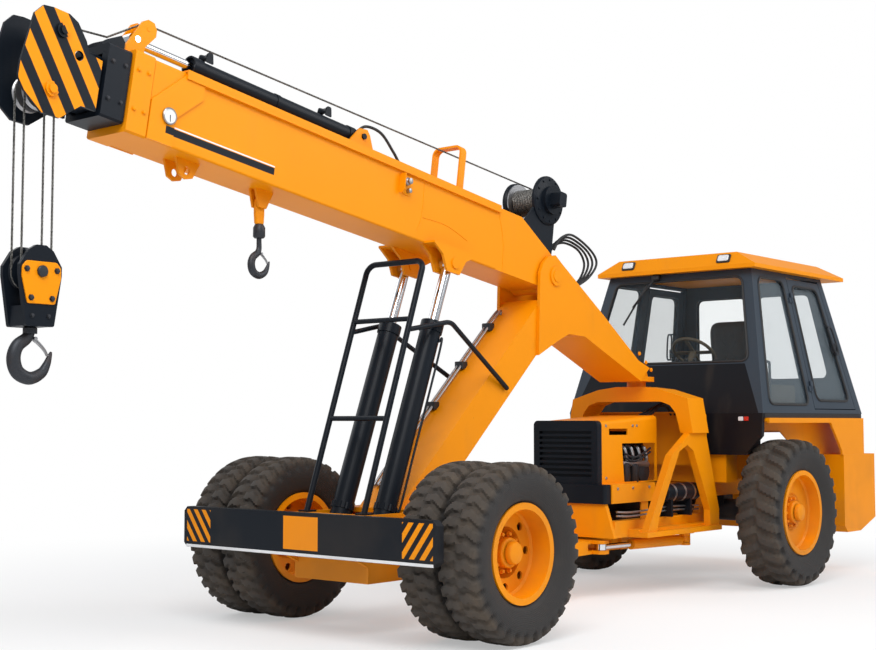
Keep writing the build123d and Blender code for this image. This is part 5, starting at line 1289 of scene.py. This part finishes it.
@dataclass
class CabTrim:
    """The cab's seals, lamps, wiper, handles, seat, levers and reflectors."""

    def front_x(self, z: Array) -> Array:
        """The windshield plane's x at a height."""
        return -3.660 - 0.315 * (np.asarray(z, float) - CAB_SILL[0]) / (CAB_EAVE[0] - CAB_SILL[0])

    def rear_x(self, z: Array) -> Array:
        """The rear wall's x at a height."""
        return -5.630 + 0.300 * (np.asarray(z, float) - CAB_SILL[0]) / (CAB_EAVE[0] - CAB_SILL[0])

    def side_y(self, z: Array) -> Array:
        """The side wall's half width at a height."""
        share = (np.asarray(z, float) - CAB_SILL[0]) / (CAB_EAVE[0] - CAB_SILL[0])
        return CAB_SILL[1] + share * (CAB_EAVE[1] - CAB_SILL[1])

    def lean(self, low: float, high: float, z: float) -> float:
        """An edge's x at a height, between its places at sill and eave."""
        return low + (high - low) * (z - CAB_SILL[0]) / (CAB_EAVE[0] - CAB_SILL[0])

    def side_seal(self, front: tuple[float, float], rear: tuple[float, float], low: float,
                  high: float) -> Shape:
        """A rubber bead round a window in the left wall."""
        corners = [(self.lean(*front, low), low), (self.lean(*front, high), high),
                   (self.lean(*rear, high), high),
                   (self.lean(*rear, low), low)]
        flat = rounded(corners, 0.085, 9)
        return tube(row(np.column_stack([flat[:, 0], self.side_y(flat[:, 1]) + 0.001, flat[:, 1]])), 0.011,
                    8, closed=True)

    def end_seal(self, corners: Sequence[tuple[float, float]], place: Callable[[Array], Array]) -> Shape:
        """A rubber bead round a window in the front or rear wall."""
        flat = rounded(corners, 0.075, 9)
        return tube(row(np.column_stack([place(flat[:, 1]), flat[:, 0], flat[:, 1]])), 0.011, 8,
                    (1.0, 0.0, 0.0), True)

    def build(self, shop: Shop) -> None:
        """Makes all of it."""
        side = self.side_seal((-3.790, -4.075), (-4.560, -4.515), 1.515, 2.620)
        low_y, high_y = float(self.side_y(1.880)) - 0.095, float(self.side_y(2.625)) - 0.095
        shield = self.end_seal([(-low_y, 1.880), (low_y, 1.880), (high_y, 2.625), (-high_y, 2.625)],
                               self.front_x)
        rear = self.end_seal([(0.060, 1.770), (0.700, 1.770), (0.590, 2.570), (0.060, 2.570)], self.rear_x)
        shop.piece("window_seals", Shape.join([side, side.mirrored(), shield, rear, rear.mirrored()]), TRIM,
                   "rear_chassis")
        door = self.side_seal((-4.735, -4.675), (-5.430, -5.160), 1.555, 2.585)
        self.doors(shop, door)
        self.lamps(shop)
        self.wiper(shop)
        self.seat(shop)
        self.levers(shop)

    def doors(self, shop: Shop, seal: Shape) -> None:
        """Each door's seal, grab handle and latch."""
        t = np.linspace(0, 2 * pi, 40, endpoint=False)
        z = 2.110 + 0.125 * np.sign(np.sin(t)) * np.abs(np.sin(t)) ** 0.55
        x = -5.265 - 0.040 * np.sign(np.cos(t)) * np.abs(np.cos(t)) ** 0.55 + 0.24 * (z - 2.110)
        handle = tube(row(np.column_stack([x, self.side_y(z) + 0.034, z])), 0.0085, 10, closed=True)
        feet = [tube(row(np.array([(x0, float(self.side_y(z0)) - 0.002, z0),
                                   (x0, float(self.side_y(z0)) + 0.034, z0)])), 0.008, 10,
                     aside=(1.0, 0.0, 0.0)) for x0, z0 in ((-5.236, 2.235), (-5.296, 1.985))]
        latch = brick(row((-5.330, 0.842, 2.000)), row((-5.270, 0.878, 2.090)), 0.006)
        for flip, word in ((False, "left"), (True, "right")):
            trim = Shape.join([seal])
            metal = Shape.join([handle, latch] + feet)
            shop.piece(f"door_seal_{word}", trim.mirrored() if flip else trim, TRIM, f"door_{word}")
            shop.piece(f"door_handle_{word}", metal.mirrored() if flip else metal, FORGED, f"door_{word}")

    def lamps(self, shop: Shop) -> None:
        """Two lamps on the roof's front slope, and the reflector on the dark panel."""
        normal = np.array([0.885, 0.0, 0.466])
        up = np.array([-0.466, 0.0, 0.885])
        bezels, lenses = [], []
        for y in (-0.480, 0.490):
            for wide, tall, start, deep, into in ((0.066, 0.042, -0.004, 0.018, bezels),
                                                  (0.052, 0.030, 0.012, 0.010, lenses)):
                flat = rounded([(-wide, -tall), (wide, -tall), (wide, tall), (-wide, tall)], 0.020, 8)
                across = flat[:, :1] * np.array([0, 1.0, 0])
                place = row((-3.915, y, 2.780)) + across + flat[:, 1:] * up + normal * start
                into.append(slab(place, normal, deep, 0.005))
        shop.piece("lamp_bezels", Shape.join(bezels), TRIM, "rear_chassis")
        shop.piece("lamp_lenses", Shape.join(lenses), LENS, "rear_chassis")
        for name, y0, y1, finish in (("reflector_red", 0.795, 0.840, RED),
                                     ("reflector_white", 0.745, 0.790, LENS)):
            plate = brick(row((-3.664, y0, 1.375)), row((-3.652, y1, 1.410)), 0.003)
            shop.piece(name, plate, finish, "rear_chassis")

    def wiper(self, shop: Shop) -> None:
        """The wiper hangs from the eave: motor cover, sprung arm and blade."""
        off = 0.030
        arm = np.array([(self.front_x(2.665) + off, -0.210, 2.665),
                        (self.front_x(2.52) + off, -0.325, 2.520), (self.front_x(2.40) + off, -0.420, 2.400)])
        blade = np.array([(float(self.front_x(z)) + 0.016, y, z) for y,
                          z in ((-0.300, 2.600), (-0.400, 2.420), (-0.500, 2.240))])
        cover = brick(row((-3.975, -0.250, 2.640)), row((-3.915, -0.170, 2.688)), 0.008)
        made = Shape.join([tube(row(curve(arm, 24)), np.linspace(0.009, 0.005, 24), 10), cover,
                           tube(row(curve(blade, 30)), 0.007, 8, flat=1.5)])
        shop.piece("wiper", made, TRIM, "rear_chassis")

    def pad(self, centre: Sequence[float], half: Sequence[float], lean: float, channels: float) -> Shape:
        """A crowned cushion: a rounded box whose faces swell in the middle and dip along sewn channels.

        A direction on the sphere is raised to a low power on each axis, which squares it off. The pad
        is then thicker by a bulge that falls to nothing at the rim, less a small dip where the cosine
        of channels times its width coordinate is near one, and turned by lean about the Y axis.
        """
        a = np.linspace(0, 2 * pi, 96, endpoint=False)[:, None]
        b = np.linspace(-pi / 2, pi / 2, 48)[None, :]
        def square(value: Array, power: float) -> Array:
            """A signed power."""
            return np.sign(value) * np.abs(value) ** power
        x = square(np.cos(b), 0.45) * square(np.cos(a), 0.38)
        y = square(np.cos(b), 0.45) * square(np.sin(a), 0.38)
        z = square(np.sin(b), 0.60) * np.ones_like(a)
        rim = np.clip(1 - x**4, 0, 1) * np.clip(1 - y**4, 0, 1)
        dip = np.exp(-((((y * channels) % 1.0) - 0.5) / 0.07) ** 2) * rim * 0.16
        z = z * (0.70 + 0.42 * rim - dip)
        x, y, z = x * half[0] * (1 - 0.03 * (1 - y**2)), y * half[1], z * half[2]
        place = np.stack([x * cos(lean) + z * sin(lean), y, z * cos(lean) - x * sin(lean)], axis=-1)
        return grid(row(place + np.asarray(centre, float)), True, False)

    def seat(self, shop: Shop) -> None:
        """The operator's seat: sewn cushions on a tray and a box, standing for the plain seat."""
        base = self.pad((-4.705, 0.0, 1.700), (0.245, 0.240, 0.066), radians(-4), 2.0)
        back = self.pad((-4.972, 0.0, 2.030), (0.290, 0.225, 0.062), radians(-82), 2.0)
        for name, shape in (("seat_cushion", base), ("seat_back", back)):
            shop.piece(name, shape, CLOTH, "rear_chassis", 60.0,
                                 ["driver_seat"] if name == "seat_cushion" else ())
        stand = Shape.join([brick(row((-4.900, -0.160, 1.441)), row((-4.560, 0.160, 1.625)), 0.012),
                            brick(row((-4.945, -0.225, 1.622)), row((-4.480, 0.225, 1.648)), 0.008)])
        shop.piece("seat_stand", stand, TRIM, "rear_chassis")

    def levers(self, shop: Shop) -> None:
        """Control levers on both consoles, and a grab rail."""
        knob = np.array([(0.0, -0.020), (0.012, -0.018), (0.020, -0.004), (0.019, 0.012), (0.010, 0.022),
                         (0.0, 0.024)])
        parts = []
        for x in (-4.430, -4.520, -4.610, -4.700):
            parts.append(tube(row(curve([(x, 0.445, 1.695), (x + 0.02, 0.440, 1.780),
                                         (x + 0.05, 0.430, 1.850)], 14)), 0.006, 10))
            parts.append(revolve(knob, row((x + 0.052, 0.430, 1.866)), 18, "Z"))
        for y in (-0.090, 0.0, 0.090):
            parts.append(tube(row(np.array([(-4.050, y, 1.795), (-4.090, y, 1.900)])), 0.006, 10))
            parts.append(revolve(knob, row((-4.093, y, 1.915)), 18, "Z"))
        rail = curve([(-4.320, 0.560, 1.560), (-4.320, 0.560, 1.860), (-4.350, 0.560, 1.900),
                      (-4.560, 0.560, 1.905), (-4.600, 0.560, 1.860), (-4.600, 0.560, 1.560)], 60)
        parts.append(tube(row(rail), 0.012, 12))
        shop.piece("cab_levers", Shape.join(parts), TRIM, "rear_chassis")


def dress_frame(shop: Shop) -> None:
    """Gives each CAD node that stays its finish."""
    shop.dress(YELLOW, "steering_brackets", "a_frames", "pivot_arch", "engine_hood", "boom_mid",
               "gooseneck_column", "gooseneck_head",
               "rear_fenders", "counterweight", "cab_roof", "front_rims_left", "front_rims_right",
               "rear_rim_left",
               "rear_rim_right", "front_chassis", "front_axle", "chassis_frame", "boom_hoop",
               "steer_barrel_left",
               "steer_barrel_right")
    shop.dress(BOOM_PAINT, "boom_base")
    shop.dress(HEAD_PAINT, "boom_head")
    shop.dress(BUMPER, "front_bumper")
    shop.dress(NAVY, "boom_third", "winch_frame", "telescope_barrel", "lift_barrels", "guard_frame",
               "air_tank", "radiator_grille", "hook_block")
    shop.dress(SOOT, "cab_front_panel", "rear_axle", "engine_block")
    shop.dress(SLATE, "cab_frame", "cab_door_left", "cab_door_right")
    shop.dress(CHROME, "lift_rods", "telescope_rod", "steer_rod_left", "steer_rod_right")
    shop.dress(STEEL, "winch_drum", "head_sheaves", "hoist_falls")
    shop.dress(FORGED, "main_hook", "aux_hook")
    shop.dress(GLASS, "cab_windows", "door_glass_left", "door_glass_right")
    shop.dress(CONSOLE, "driver_seat", "cab_controls")
    shop.dress(TRIM, "cab_floor")
    shop.dress(TRIM, "front_tyres_left", "front_tyres_right", "rear_tyre_left", "rear_tyre_right")


def main() -> None:
    """Builds the sub-assemblies in order."""
    logging.basicConfig(level=logging.INFO, format="%(message)s")
    Stage().build()
    shop = Shop()
    dress_frame(shop)
    for assembly in (Wheels(), Ropes(), HookGear(), BoomTrim(), WinchTrim(), FrontTrim(), EngineTrim(),
                     CabTrim()):
        assembly.build(shop)
    LOG.info("%d pieces", shop.count)
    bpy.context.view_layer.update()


if __name__ == "__main__":
    main()
